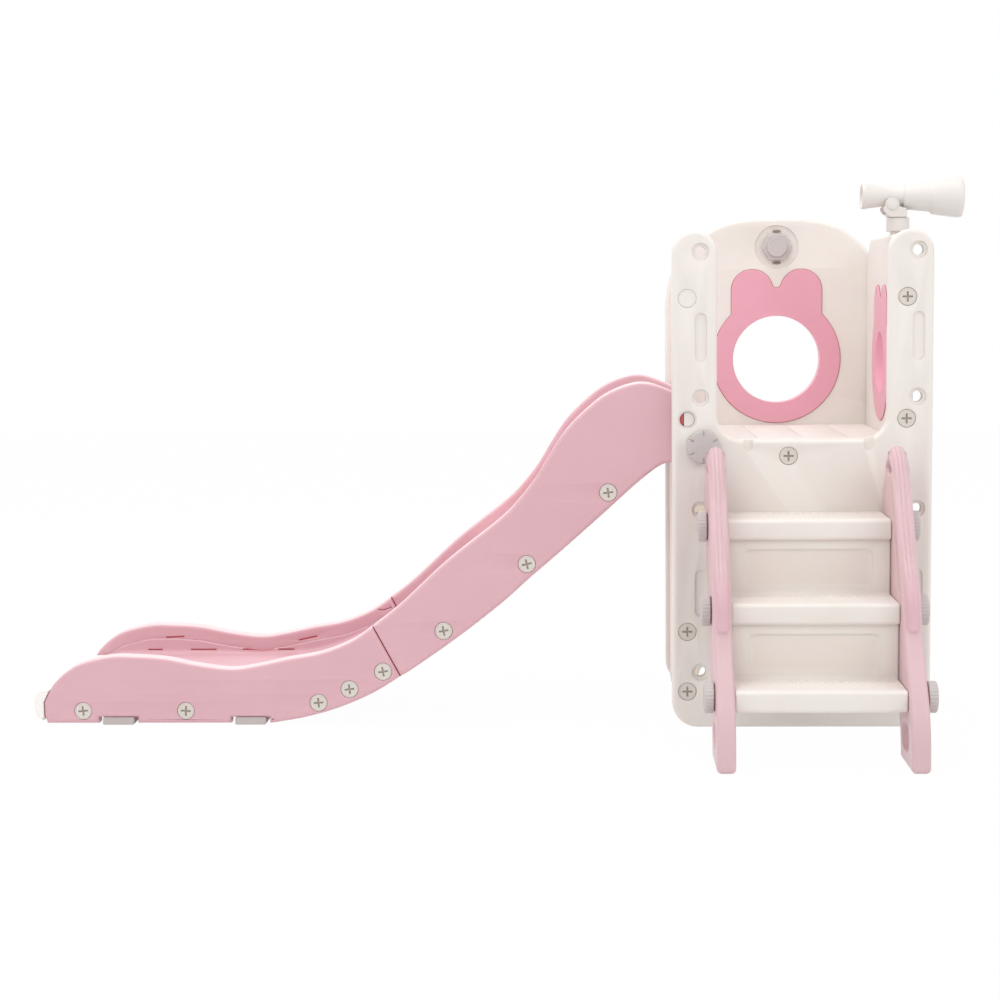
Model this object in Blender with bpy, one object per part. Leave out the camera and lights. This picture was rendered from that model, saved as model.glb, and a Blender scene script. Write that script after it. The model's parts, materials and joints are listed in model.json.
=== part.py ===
# Slide with play tower: a toddler's tower of moulded panels with a ladder, a slide and a toy telescope.
# Metres, +Z up. The front panel's outer face is at y = 0, the ladder stands before it, the slide runs to -X.
import math

import bmesh
import bpy
from mathutils import Matrix, Vector
from mathutils.geometry import tessellate_polygon

for stale in list(bpy.data.objects):
    bpy.data.objects.remove(stale, do_unlink=True)

# Clearances
GAP = 0.0003
TURN_GAP = 0.0004

# Tower
TOWER_DEPTH = 0.500
PANEL_THICK = 0.030
FRONT_WIDTH = 0.500
FRONT_POST_RISE = 0.0075
POST_WIDTH = 0.08675
SILL_RADIUS = 0.048
FOOT_RADIUS = 0.050
PANEL_EDGE = 0.006
PLATFORM_TOP = 0.562
PLATFORM_THICK = 0.045
BACK_LEFT_INSET = 0.005
BACK_RIGHT_INSET = 0.022
BACK_CROWN_RISE = 0.039
BACK_SHOULDER = ((0.0, 0.175), (0.012, 0.112), (0.050, 0.059), (0.093, 0.024), (0.137, 0.007), (0.187, 0.0))
BACK_FOOT_ARCH_WIDTH = 0.330
BACK_FOOT_ARCH_HEIGHT = 0.045
SIDE_THICK = 0.033
RIGHT_PANEL_INSET = 0.067
RIGHT_PANEL_HEIGHT = 0.956
RIGHT_TOP_RADIUS = 0.075
LEFT_PANEL_INSET = 0.013
SIDE_FOOT_ARCH_WIDTH = 0.260
SIDE_FOOT_ARCH_HEIGHT = 0.040
SIDE_FOOT_LIFT = 0.018
GROOVE_COUNT = 4
GROOVE_SIDE_MARGIN = 0.0317
GROOVE_END_MARGIN = 0.035
GROOVE_SPACING = 0.0895
GROOVE_WIDTH = 0.004
GROOVE_DEPTH = 0.0015

# Post holes and slots of the front panel: Z from the floor, RISE above the platform, INSET from its side
LOW_SPARE_Z = (0.109, 0.4275)
MIDDLE_SPARE_RISE = 0.082
TOP_SPARE_RISE = 0.362
TOP_SPARE_DROP = 0.0395
LEFT_SPARE_INSET = 0.055
RIGHT_SPARE_INSET = 0.030
SPARE_HOLE_RADIUS = 0.0105
SPARE_SEAT_RADIUS = 0.0165
SPARE_SEAT_DEPTH = 0.0055
HOOK_HOLE_RADIUS = 0.014
POST_SLOT_WIDTH = 0.0225
LOW_SLOT_SPAN = (0.218, 0.311)
TOP_SLOT_RISES = (0.1525, 0.245)
LEFT_SLOT_INSET = 0.0557
RIGHT_SLOT_INSET = 0.0285
SLOT_DEPTH = 0.004
SILL_NOTCH_INSETS = (0.06025, 0.03525)
SILL_NOTCH_WIDTH = 0.018
SILL_NOTCH_DROP = 0.021
SILL_NOTCH_DEPTH = 0.008

# Screws
SCREW_HEAD_RADIUS = 0.0170
SCREW_HEAD_HEIGHT = 0.0052
SCREW_SEAT_RADIUS = 0.0178
SCREW_SHANK_RADIUS = 0.006
SCREW_GRIP = 0.022
SCREW_CLEARANCE = 0.0004
CROSS_LENGTH = 0.020
CROSS_WIDTH = 0.0034
CROSS_DEPTH = 0.002
SCREW_SIDES = 12
LOWER_SCREW_Z = (0.071, 0.189)
MIDDLE_SCREW_RISE = 0.040
TOP_SCREW_RISE = 0.273
PLATFORM_SCREW_X = -0.026
PLATFORM_SCREW_DROP = 0.031

# Window rings: each stack of ring, ears and what is above them is scaled to fill its wall above the platform
WINDOW_COLLAR = 0.007
RING_THICK = 0.0025
RING_EDGE = 0.001
BACK_RING_CLEAR = 0.0045
BACK_RING_RADIUS = 0.1355
BACK_WINDOW_RADIUS = 0.0924
BACK_EAR_RADIUS = 0.044
BACK_EAR_SPREAD = 0.052
BACK_EAR_RISE = 0.191
SIDE_RING_SHIFT = -0.002
SIDE_RING_CLEAR = 0.022
SIDE_RING_RADIUS = 0.117
SIDE_WINDOW_RADIUS = 0.062
SIDE_EAR_RADIUS = 0.042
SIDE_EAR_SPREAD = 0.046
SIDE_EAR_RISE = 0.1565
SIDE_EAR_DROP = 0.0985
EAR_NOTCH_RADIUS = 0.010
BACK_WINDOW_SIDES = 40
SIDE_WINDOW_SIDES = 28

# Socket for a play accessory in the back panel
SOCKET_EAR_CLEAR = 0.047
SOCKET_DROP = 0.055
SOCKET_RECESS_RADIUS = 0.046
SOCKET_RECESS_DEPTH = 0.004
SOCKET_NUT_RADIUS = 0.032
SOCKET_NUT_THICK = 0.012
SOCKET_BOLT_RADIUS = 0.008
SOCKET_BOLT_HEAD_RADIUS = 0.021
SOCKET_BOLT_HEAD_THICK = 0.005

# Ladder
LADDER_RAIL_THICK = 0.0345
LADDER_RAIL_INSET = 0.062
LADDER_EDGE = 0.009
STEP_TOP = (0.1405, 0.281, 0.423)
STEP_FRONT_Y = (-0.366, -0.258, -0.142)
STEP_THICK = 0.040
RISER_SETBACK = 0.012
RISER_THICK = 0.014
STEP_EDGE = 0.007
RISER_PANEL_MARGIN = 0.034
RISER_PANEL_DEPTH = 0.004
LADDER_KNOB_SETBACK = 0.028
LADDER_KNOB_DROP = 0.0155
KNOB_RADIUS = 0.0285
KNOB_LENGTH = 0.016
KNOB_EDGE = 0.003
KNOB_FLANGE_RADIUS = 0.026
KNOB_FLANGE_THICK = 0.002
KNOB_SHANK_RADIUS = 0.007
KNOB_SHANK_GRIP = 0.030
KNOB_FLUTES = 8
KNOB_FLUTE_DEPTH = 0.0022
HOOK_KNOB_MARGIN = 0.0137
HOOK_KNOB_DROP = 0.012
HOOK_KNOB_RADIUS = 0.032
HOOK_KNOB_NOTCHES = 6

# Slide
SLIDE_RAIL_THICK = 0.036
SLIDE_EDGE = 0.007
SLIDE_SEAT_DROP = 0.045
SLIDE_END_CLEAR = 0.002
RUNOUT_BOTTOM_Z = 0.003
TRAY_WALL = 0.008
TRAY_FLANGE_DROP = 0.030
TRAY_WALL_LIFT = 0.014
TRAY_BOTTOM_LIFT = 0.006
TRAY_MIN_FLANGE = 0.003
TRAY_SEAM_X = -0.812
TRAY_STATIONS = 15
SEAM_GAP = 0.0005
PAD_SPANS = ((-1.380, -1.318), (-1.115, -1.054))
PAD_NOTCH_MARGIN = 0.008
PAD_NOTCH_HEIGHT = 0.012
END_ROLL_REACH = 0.0195
END_ROLL_BOTTOM = 0.0095
END_ROLL_TOP = 0.0705
END_ROLL_ROOT = 0.006
END_ROLL_LAP_EDGE = 0.0022
LOWER_SCREWS = ((-1.419, 0.028), (-1.213, 0.028), (-0.948, 0.044), (-0.886, 0.071), (-0.819, 0.106))
UPPER_SCREWS = ((-0.698, 0.187), (-0.533, 0.319), (-0.373, 0.459))

# Telescope
TELESCOPE_Y = 0.140
MAST_FOOT_DEPTH = 0.040
MAST_FOOT_RADIUS = 0.0115
MAST_NECK_RADIUS = 0.0155
MAST_COLLAR_RADIUS = 0.0225
MAST_NECK_RISE = 0.006
MAST_COLLAR_HEIGHT = 0.027
SPINDLE_RADIUS = 0.006
SPINDLE_LENGTH = 0.022
YOKE_PIVOT_SETBACK = 0.014
YOKE_PIVOT_RISE = 0.0245
YOKE_FRONT = 0.0145
YOKE_SHOULDER_DROP = 0.0065
YOKE_REAR = ((-0.0180, -0.0055), (-0.0170, -0.0110), (-0.0115, -0.0180))
YOKE_FLOOR = 0.0067
YOKE_WIDTH = 0.050
YOKE_CHEEK = 0.005
YOKE_BOSS_RADIUS = 0.014
TILT_PIN_RADIUS = 0.004
TILT_PIN_HEAD_RADIUS = 0.0105
TILT_PIN_HEAD_THICK = 0.002
BARREL_AXIS_RISE = 0.0168
BARREL_DROOP = math.radians(1.2)
BARREL_REAR = -0.0584
BARREL_FRONT = 0.138
EYEPIECE_RADIUS = 0.0255
GRIP_RADIUS = 0.0195
TUBE_REAR_RADIUS = 0.0245
TUBE_FRONT_RADIUS = 0.0293
HOOD_REAR_RADIUS = 0.0343
HOOD_FRONT_RADIUS = 0.0398
HOOD_ROUND = 0.003
HOOD_RECESS = 0.024
EYEPIECE_RECESS = 0.010
LENS_WALL = 0.005
LUG_RADIUS = 0.0115

# Colours, sRGB 0 to 255
IVORY = (233, 229, 224)
PINK = (219, 176, 184)
PALE_PINK = (229, 200, 208)
ROSE = (228, 155, 178)
WARM_GREY = (205, 198, 192)
KNOB_GREY = (195, 188, 188)
PAD_GREY = (196, 194, 190)
NEAR_WHITE = (238, 234, 231)

# The slide's curves as (x, z), moved to the tower and stretched to the height of its platform
RAIL_TOP_LOWER = (
    (-1.498, 0.045), (-1.481, 0.077), (-1.456, 0.103), (-1.421, 0.124), (-1.362, 0.138), (-1.312, 0.138),
    (-1.254, 0.134), (-1.188, 0.121), (-1.122, 0.113), (-1.072, 0.119), (-1.006, 0.133), (-0.940, 0.145),
    (-0.881, 0.168), (-0.839, 0.196),
)
RAIL_TOP_UPPER = (
    (-0.839, 0.196), (-0.781, 0.242), (-0.689, 0.327), (-0.586, 0.408), (-0.548, 0.446), (-0.516, 0.487),
    (-0.490, 0.530), (-0.459, 0.577), (-0.421, 0.617), (-0.378, 0.651), (-0.333, 0.670), (-0.296, 0.673),
    (-0.250, 0.657), (-0.206, 0.636),
)
RAIL_BOTTOM_LOWER = (
    (-0.785, 0.096), (-0.839, 0.063), (-0.906, 0.034), (-0.972, 0.015), (-1.040, 0.003),
)
RAIL_BOTTOM_UPPER = (
    (-0.252, 0.517), (-0.274, 0.510), (-0.317, 0.477), (-0.379, 0.421), (-0.460, 0.349), (-0.523, 0.295),
    (-0.586, 0.239), (-0.674, 0.171), (-0.757, 0.113), (-0.785, 0.096),
)
BED_TOP = (
    (-1.498, 0.039), (-1.486, 0.057), (-1.465, 0.069), (-1.430, 0.0745), (-1.300, 0.076), (-1.060, 0.076),
    (-1.000, 0.081), (-0.940, 0.099),
    (-0.880, 0.128), (-0.815, 0.168), (-0.757, 0.205), (-0.674, 0.263), (-0.586, 0.332), (-0.523, 0.388),
    (-0.460, 0.443), (-0.379, 0.512), (-0.330, 0.545), (-0.285, 0.560), (-0.240, 0.562), (-0.206, 0.562),
)

# A ladder rail's outline as (y, z), from the handle's tip down the front, round the foot and up the back
LADDER_RAIL_FRONT = (
    (-0.078, 0.552), (-0.112, 0.536), (-0.140, 0.506), (-0.170, 0.460), (-0.203, 0.410), (-0.240, 0.352),
    (-0.281, 0.297), (-0.297, 0.250), (-0.321, 0.200), (-0.361, 0.152), (-0.392, 0.108), (-0.408, 0.062),
    (-0.412, 0.012),
)
LADDER_RAIL_BACK = (
    (-0.266, 0.018), (-0.245, 0.074), (-0.150, 0.208), (-0.062, 0.335), (-0.018, 0.402),
)
LADDER_TOUCH_Z = (0.432, 0.470)
LADDER_RAIL_CROWN = ((-0.022, 0.500), (-0.048, 0.536))
LADDER_FOOT_FRONT_Y = -0.402
LADDER_FOOT_BACK_Y = -0.276
LADDER_FOOT_ROUND = 0.010
GRIP_HOLE = ((-0.082, 0.529), (-0.116, 0.504), (-0.054, 0.504))
GRIP_HOLE_RADIUS = 0.006
FOOT_HOLE_CENTRE = (-0.328, 0.052)
FOOT_HOLE_SIZE = (0.076, 0.044)

PLANES = {
    "XY": lambda a, b, depth: Vector((a, b, depth)),
    "XZ": lambda a, b, depth: Vector((a, depth, b)),
    "YZ": lambda a, b, depth: Vector((depth, a, b)),
}
UP = Vector((0, 0, 1))


# Outlines

def arc(centre_a, centre_b, radius, start, end, steps):
    """Points on a circular arc, angles in degrees."""
    angles = [math.radians(start + (end - start) * i / steps) for i in range(steps + 1)]
    return [(centre_a + radius * math.cos(t), centre_b + radius * math.sin(t)) for t in angles]


def circle(centre_a, centre_b, radius, sides):
    return arc(centre_a, centre_b, radius, 0, 360, sides)[:-1]


def curve_through(points, steps=2):
    """A smooth open curve through the points (Catmull-Rom)."""
    ends = [points[0], *points, points[-1]]
    made = []
    for p0, p1, p2, p3 in zip(ends, ends[1:], ends[2:], ends[3:]):
        for i in range(steps):
            t = i / steps
            made.append(tuple(
                0.5 * (2 * b + (c - a) * t + (2 * a - 5 * b + 4 * c - d) * t * t
                       + (3 * b - a - 3 * c + d) * t ** 3)
                for a, b, c, d in zip(p0, p1, p2, p3)
            ))
    return made + [points[-1]]


def mirrored(points, centre=0.0):
    """The same points on the other side of a vertical line, in the order that continues the outline."""
    return [(2 * centre - a, b) for a, b in reversed(points)]


def rounded_corners(corners, radius, steps=4):
    """A closed polygon with its corners replaced by curves that start at the given distance."""
    made = []
    count = len(corners)
    for i in range(count):
        here = Vector(corners[i])
        before = (Vector(corners[i - 1]) - here).normalized() * radius
        after = (Vector(corners[(i + 1) % count]) - here).normalized() * radius
        for k in range(steps + 1):
            t = k / steps
            point = here + before * (1 - t) ** 2 + after * t ** 2
            made.append(tuple(point))
    return made


def slot_outline(centre_a, low, high, width, steps=5):
    radius = width / 2
    top = arc(centre_a, high - radius, radius, 0, 180, steps)
    return top + arc(centre_a, low + radius, radius, 180, 360, steps)


def height_at(points, x):
    """The height of a polyline at x."""
    ordered = sorted(points)
    for (x0, z0), (x1, z1) in zip(ordered, ordered[1:]):
        if x <= x1:
            return z0 + (z1 - z0) * (x - x0) / (x1 - x0)
    return ordered[-1][1]


def tidy_loop(loop, clockwise=False):
    """The loop without doubled points, turned the wanted way round."""
    kept = []
    for point in loop:
        if not kept or (Vector(point) - kept[-1]).length > 0.00015:
            kept.append(Vector(point))
    if (kept[0] - kept[-1]).length < 0.00015:
        kept.pop()
    area = sum(p.x * q.y - q.x * p.y for p, q in zip(kept, kept[1:] + kept[:1]))
    if (area < 0) != clockwise:
        kept.reverse()
    return kept


def inset(loop, distance):
    """The loop moved to its left by the distance."""
    moved = []
    count = len(loop)
    for i in range(count):
        first = loop[i] - loop[i - 1]
        second = loop[(i + 1) % count] - loop[i]
        normal_1 = Vector((-first.y, first.x)).normalized()
        normal_2 = Vector((-second.y, second.x)).normalized()
        share = max(1 + normal_1.dot(normal_2), 0.5)
        moved.append(loop[i] + (normal_1 + normal_2) * (distance / share))
    return moved


# Solids

def row(bm, points):
    return [bm.verts.new(point) for point in points]


def band(bm, first, second):
    """Faces between two rows that have the same number of points."""
    count = len(first)
    for i in range(count):
        j = (i + 1) % count
        bm.faces.new((first[i], first[j], second[j], second[i]))


def cap(bm, rows):
    """Faces that close a flat outline, with its holes left open."""
    verts = [vert for one in rows for vert in one]
    for a, b, c in tessellate_polygon([[vert.co for vert in one] for one in rows]):
        bm.faces.new((verts[a], verts[b], verts[c]))


def rim_levels(start, end, edge, steps):
    """Depth and inset of each row of a plate whose rims are rounded."""
    if not edge:
        return [(start, 0.0), (end, 0.0)]
    turn = math.copysign(1, end - start)
    angles = [math.pi / 2 * k / steps for k in range(steps + 1)]
    near = [(edge * (1 - math.cos(t)), edge * (1 - math.sin(t))) for t in angles]
    levels = [(start + turn * depth, back) for depth, back in near]
    return levels + [(end - turn * depth, back) for depth, back in reversed(near)]


def slab(loops, start, end, plane, edge=0.0, steps=2, bm=None):
    """A plate of the first outline, with the other outlines as through holes and all rims rounded."""
    bm = bmesh.new() if bm is None else bm
    place = PLANES[plane]
    tidied = [tidy_loop(loop, clockwise=i > 0) for i, loop in enumerate(loops)]
    rows = []
    for depth, back in rim_levels(start, end, edge, steps):
        shrunk = [inset(loop, back) if back else loop for loop in tidied]
        rows.append([row(bm, [place(p.x, p.y, depth) for p in loop]) for loop in shrunk])
    for first, second in zip(rows, rows[1:]):
        for one, other in zip(first, second):
            band(bm, one, other)
    cap(bm, rows[0])
    cap(bm, rows[-1])
    return bm


def loft(rings, bm=None):
    """A solid through rings of points, closed at both ends."""
    bm = bmesh.new() if bm is None else bm
    rows = [row(bm, ring) for ring in rings]
    for first, second in zip(rows, rows[1:]):
        band(bm, first, second)
    bm.faces.new(rows[0])
    bm.faces.new(rows[-1])
    return bm


def turned(profile, sides, base=Vector((0, 0, 0)), direction=UP, bm=None):
    """A turned solid; the profile is (radius, height) along the direction."""
    spin = UP.rotation_difference(direction)
    rings = [
        [base + spin @ Vector((a, b, height)) for a, b in circle(0, 0, radius, sides)]
        for radius, height in profile
    ]
    return loft(rings, bm)


def stepped_hole(bm, base, direction, bore_radius, depth, head_radius=0.0, head_depth=0.0, sides=SCREW_SIDES):
    """A cutter for a counterbored hole; base is on the surface and direction points out of the material."""
    clear = 0.004
    profile = [(bore_radius, -depth), (bore_radius, clear)]
    if head_radius:
        profile = [(bore_radius, -depth), (bore_radius, -head_depth)]
        profile += [(head_radius, -head_depth), (head_radius, clear)]
    return turned(profile, sides, Vector(base), Vector(direction), bm)


# Objects

frame = bpy.data.objects.new("play_set_frame", None)
bpy.context.scene.collection.objects.link(frame)


def linear(value):
    value = value / 255
    return value / 12.92 if value <= 0.04045 else ((value + 0.055) / 1.055) ** 2.4


def plastic(name, colour, roughness):
    material = bpy.data.materials.new(name)
    material.use_nodes = True
    shader = material.node_tree.nodes["Principled BSDF"]
    shader.inputs["Base Color"].default_value = (*[linear(c) for c in colour], 1)
    shader.inputs["Roughness"].default_value = roughness
    shader.inputs["Metallic"].default_value = 0.0
    return material


def finish_mesh(bm, name):
    bmesh.ops.recalc_face_normals(bm, faces=bm.faces)
    mesh = bpy.data.meshes.new(name)
    bm.to_mesh(mesh)
    bm.free()
    return mesh


def node(name, bm, colour, location=(0, 0, 0), rotation=None, roughness=0.42):
    """One sub-part, under the set's frame."""
    item = bpy.data.objects.new(name, finish_mesh(bm, name))
    bpy.context.scene.collection.objects.link(item)
    item.parent = frame
    item.location = location
    if rotation:
        item.rotation_euler = rotation.to_euler()
    item.data.materials.append(plastic(name, colour, roughness))
    item.data.shade_smooth()
    item.data.set_sharp_from_angle(angle=math.radians(32))
    return item


def boolean(item, bm, operation="DIFFERENCE"):
    """Cuts or joins a helper solid, given in the same coordinates as the object's own mesh."""
    helper = bpy.data.objects.new(f"cutter_{item.name}", finish_mesh(bm, f"cutter_{item.name}"))
    bpy.context.scene.collection.objects.link(helper)
    helper.parent = item
    helper.hide_render = True
    helper.display_type = "WIRE"
    modifier = item.modifiers.new(operation.lower(), "BOOLEAN")
    modifier.operation = operation
    modifier.solver = "EXACT"
    modifier.object = helper


# Places that several sub-parts share
INNER_Y = (PANEL_THICK + GAP, TOWER_DEPTH - PANEL_THICK - GAP)
FRONT_HALF = FRONT_WIDTH / 2
OPENING_HALF = FRONT_HALF - POST_WIDTH
BACK_X = (BACK_LEFT_INSET - FRONT_HALF, FRONT_HALF - BACK_RIGHT_INSET)
BACK_CENTRE_X = (BACK_X[0] + BACK_X[1]) / 2
LADDER_RAIL_OUTER_X = FRONT_HALF - LADDER_RAIL_INSET
LADDER_RAIL_INNER_X = LADDER_RAIL_OUTER_X - LADDER_RAIL_THICK
FRONT_HEIGHT = RIGHT_PANEL_HEIGHT + FRONT_POST_RISE
BACK_HEIGHT = RIGHT_PANEL_HEIGHT + BACK_CROWN_RISE
LEFT_PANEL_X = LEFT_PANEL_INSET - FRONT_HALF
RIGHT_PANEL_X = FRONT_HALF - RIGHT_PANEL_INSET
LEFT_SCREW_X = LEFT_PANEL_X + SIDE_THICK / 2
RIGHT_SCREW_X = RIGHT_PANEL_X + SIDE_THICK / 2
PLATFORM_X = (LEFT_PANEL_X + SIDE_THICK + GAP, RIGHT_PANEL_X - GAP)
PLATFORM_SCREW_Z = PLATFORM_TOP - PLATFORM_SCREW_DROP
HOOK_KNOB_X = PLATFORM_X[0] + HOOK_KNOB_MARGIN
HOOK_KNOB_Z = PLATFORM_TOP - HOOK_KNOB_DROP
POST_SCALE = (FRONT_HEIGHT - PLATFORM_TOP) / (TOP_SPARE_RISE + TOP_SPARE_DROP)
MIDDLE_SCREW_Z = PLATFORM_TOP + MIDDLE_SCREW_RISE * POST_SCALE
UPPER_SCREW_Z = (MIDDLE_SCREW_Z, PLATFORM_TOP + TOP_SCREW_RISE * POST_SCALE)
BACK_RIGHT_SCREW_Z = (LOWER_SCREW_Z[1], MIDDLE_SCREW_Z)
CAP_Z = UPPER_SCREW_Z[1]
SPARE_HOLE_X = (LEFT_SPARE_INSET - FRONT_HALF, FRONT_HALF - RIGHT_SPARE_INSET)
SPARE_HOLE_Z = LOW_SPARE_Z + tuple(PLATFORM_TOP + z * POST_SCALE for z in (MIDDLE_SPARE_RISE, TOP_SPARE_RISE))
POST_SLOT_X = (LEFT_SLOT_INSET - FRONT_HALF, FRONT_HALF - RIGHT_SLOT_INSET)
POST_SLOT_SPANS = (LOW_SLOT_SPAN, tuple(PLATFORM_TOP + z * POST_SCALE for z in TOP_SLOT_RISES))
SILL_NOTCH_X = (SILL_NOTCH_INSETS[0] - OPENING_HALF, OPENING_HALF - SILL_NOTCH_INSETS[1])
BACK_RING_STACK = BACK_RING_CLEAR + BACK_RING_RADIUS + BACK_EAR_RISE + SOCKET_EAR_CLEAR + SOCKET_DROP
BACK_SCALE = (BACK_HEIGHT - PLATFORM_TOP) / BACK_RING_STACK
BACK_RING_Z = PLATFORM_TOP + (BACK_RING_CLEAR + BACK_RING_RADIUS) * BACK_SCALE
SOCKET_Z = BACK_HEIGHT - SOCKET_DROP * BACK_SCALE
SIDE_RING_STACK = SIDE_RING_CLEAR + SIDE_RING_RADIUS + SIDE_EAR_RISE + SIDE_EAR_DROP
SIDE_SCALE = (RIGHT_PANEL_HEIGHT - PLATFORM_TOP) / SIDE_RING_STACK
SIDE_RING_Z = PLATFORM_TOP + (SIDE_RING_CLEAR + SIDE_RING_RADIUS) * SIDE_SCALE
SIDE_RING_Y = TOWER_DEPTH / 2 + SIDE_RING_SHIFT
SLIDE_SEAT_Z = PLATFORM_TOP - SLIDE_SEAT_DROP
SLIDE_TOP_X = LEFT_PANEL_X + SIDE_THICK - SLIDE_END_CLEAR
SLIDE_SHIFT = SLIDE_TOP_X - RAIL_TOP_UPPER[-1][0]
SLIDE_FRONT_X = RAIL_TOP_LOWER[0][0] + SLIDE_SHIFT
MAST_COLLAR_BOTTOM = RIGHT_PANEL_HEIGHT + MAST_NECK_RISE
MAST_COLLAR_TOP = MAST_COLLAR_BOTTOM + MAST_COLLAR_HEIGHT
PIVOT = Vector((RIGHT_SCREW_X - YOKE_PIVOT_SETBACK, TELESCOPE_Y, MAST_COLLAR_TOP + YOKE_PIVOT_RISE))
CUT_THROUGH = 0.004
SHANK_BORE = SCREW_SHANK_RADIUS + SCREW_CLEARANCE
KNOB_BORE = KNOB_SHANK_RADIUS + TURN_GAP
TOWER_SHANK = PANEL_THICK + SCREW_GRIP
CAP_LENGTH = PANEL_THICK - SCREW_HEAD_HEIGHT
SEAT_DEPTH = SCREW_HEAD_HEIGHT + GAP
FRONT_OUT = (0, -1, 0)
BACK_OUT = (0, 1, 0)


# Tower panels

def front_panel():
    post = POST_WIDTH / 2
    right = arc(FRONT_HALF - FOOT_RADIUS, FOOT_RADIUS, FOOT_RADIUS, -90, 0, 6)
    right += arc(FRONT_HALF - post, FRONT_HEIGHT - post, post, 0, 180, 12)
    right += arc(OPENING_HALF - SILL_RADIUS, PLATFORM_TOP + SILL_RADIUS, SILL_RADIUS, 0, -90, 6)
    panel = node("front_panel", slab([right + mirrored(right)], 0, PANEL_THICK, "XZ", PANEL_EDGE), IVORY)
    cuts = bmesh.new()
    through = PANEL_THICK + CUT_THROUGH
    for x in SPARE_HOLE_X:
        for z in SPARE_HOLE_Z:
            stepped_hole(cuts, (x, 0, z), FRONT_OUT, SPARE_HOLE_RADIUS, through,
                         SPARE_SEAT_RADIUS, SPARE_SEAT_DEPTH)
    screwed = [(LEFT_SCREW_X, z) for z in LOWER_SCREW_Z + (CAP_Z,)]
    screwed += [(RIGHT_SCREW_X, z) for z in UPPER_SCREW_Z]
    screwed.append((PLATFORM_SCREW_X, PLATFORM_SCREW_Z))
    for x, z in screwed:
        stepped_hole(cuts, (x, 0, z), FRONT_OUT, SHANK_BORE, through, SCREW_SEAT_RADIUS, SEAT_DEPTH)
    stepped_hole(cuts, (LEFT_SCREW_X, 0, MIDDLE_SCREW_Z), FRONT_OUT, HOOK_HOLE_RADIUS, through,
                 SCREW_SEAT_RADIUS, SPARE_SEAT_DEPTH)
    stepped_hole(cuts, (HOOK_KNOB_X, 0, HOOK_KNOB_Z), FRONT_OUT, KNOB_BORE, through)
    for x in POST_SLOT_X:
        for low, high in POST_SLOT_SPANS:
            slab([slot_outline(x, low, high, POST_SLOT_WIDTH)], -CUT_THROUGH, SLOT_DEPTH, "XZ", bm=cuts)
    for x in SILL_NOTCH_X:
        low, high = PLATFORM_TOP - SILL_NOTCH_DROP, PLATFORM_TOP + SILL_NOTCH_DROP
        notch = slot_outline(x, low, high, SILL_NOTCH_WIDTH)
        slab([notch], -CUT_THROUGH, SILL_NOTCH_DEPTH, "XZ", bm=cuts)
    boolean(panel, cuts)


def foot_arch(centre, width, height, radius=0.030, base=0.0):
    """The low arch between a panel's feet, from its right foot to its left one."""
    half = width / 2
    right = [(centre + half, base)]
    right += arc(centre + half - radius, height - radius, radius, 0, 90, 5)
    return right + mirrored(right, centre)


def back_panel():
    right_x = BACK_X[1]
    shoulder = [(right_x - inward, BACK_HEIGHT - down) for inward, down in BACK_SHOULDER]
    right = arc(right_x - FOOT_RADIUS, FOOT_RADIUS, FOOT_RADIUS, -90, 0, 6)
    right += curve_through(shoulder)
    arch = foot_arch(BACK_CENTRE_X, BACK_FOOT_ARCH_WIDTH, BACK_FOOT_ARCH_HEIGHT)
    outline = right + mirrored(right, BACK_CENTRE_X) + list(reversed(arch))
    bore = BACK_WINDOW_RADIUS * BACK_SCALE + WINDOW_COLLAR + GAP
    window = circle(BACK_CENTRE_X, BACK_RING_Z, bore, BACK_WINDOW_SIDES)
    start = TOWER_DEPTH - PANEL_THICK
    panel = node("back_panel", slab([outline, window], start, TOWER_DEPTH, "XZ", PANEL_EDGE), IVORY)
    cuts = bmesh.new()
    through = PANEL_THICK + CUT_THROUGH
    for x, heights in ((LEFT_SCREW_X, LOWER_SCREW_Z), (RIGHT_SCREW_X, BACK_RIGHT_SCREW_Z)):
        for z in heights:
            stepped_hole(cuts, (x, TOWER_DEPTH, z), BACK_OUT, SHANK_BORE, through,
                         SCREW_SEAT_RADIUS, SEAT_DEPTH)
    stepped_hole(cuts, (BACK_CENTRE_X, start, SOCKET_Z), FRONT_OUT, SOCKET_BOLT_RADIUS + SCREW_CLEARANCE,
                 through, SOCKET_RECESS_RADIUS, SOCKET_RECESS_DEPTH, sides=24)
    boolean(panel, cuts)


def side_panel(name, start, top, top_radius, screw_z, window=None):
    near, far = INNER_Y
    middle = (near + far) / 2
    arch = foot_arch(middle, SIDE_FOOT_ARCH_WIDTH, SIDE_FOOT_ARCH_HEIGHT, radius=0.020, base=SIDE_FOOT_LIFT)
    outline = [(far, SIDE_FOOT_LIFT)]
    outline += arc(far - top_radius, top - top_radius, top_radius, 0, 90, 6)
    outline += arc(near + top_radius, top - top_radius, top_radius, 90, 180, 6)
    outline += [(near, SIDE_FOOT_LIFT)] + list(reversed(arch))
    loops = [outline] + ([window] if window else [])
    panel = node(name, slab(loops, start, start + SIDE_THICK, "YZ", PANEL_EDGE), IVORY)
    cuts = bmesh.new()
    for y, out, heights in ((near, FRONT_OUT, screw_z[0]), (far, BACK_OUT, screw_z[1])):
        for z in heights:
            stepped_hole(cuts, (start + SIDE_THICK / 2, y, z), out, SHANK_BORE, SCREW_GRIP + 2 * GAP)
    return panel, cuts


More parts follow.
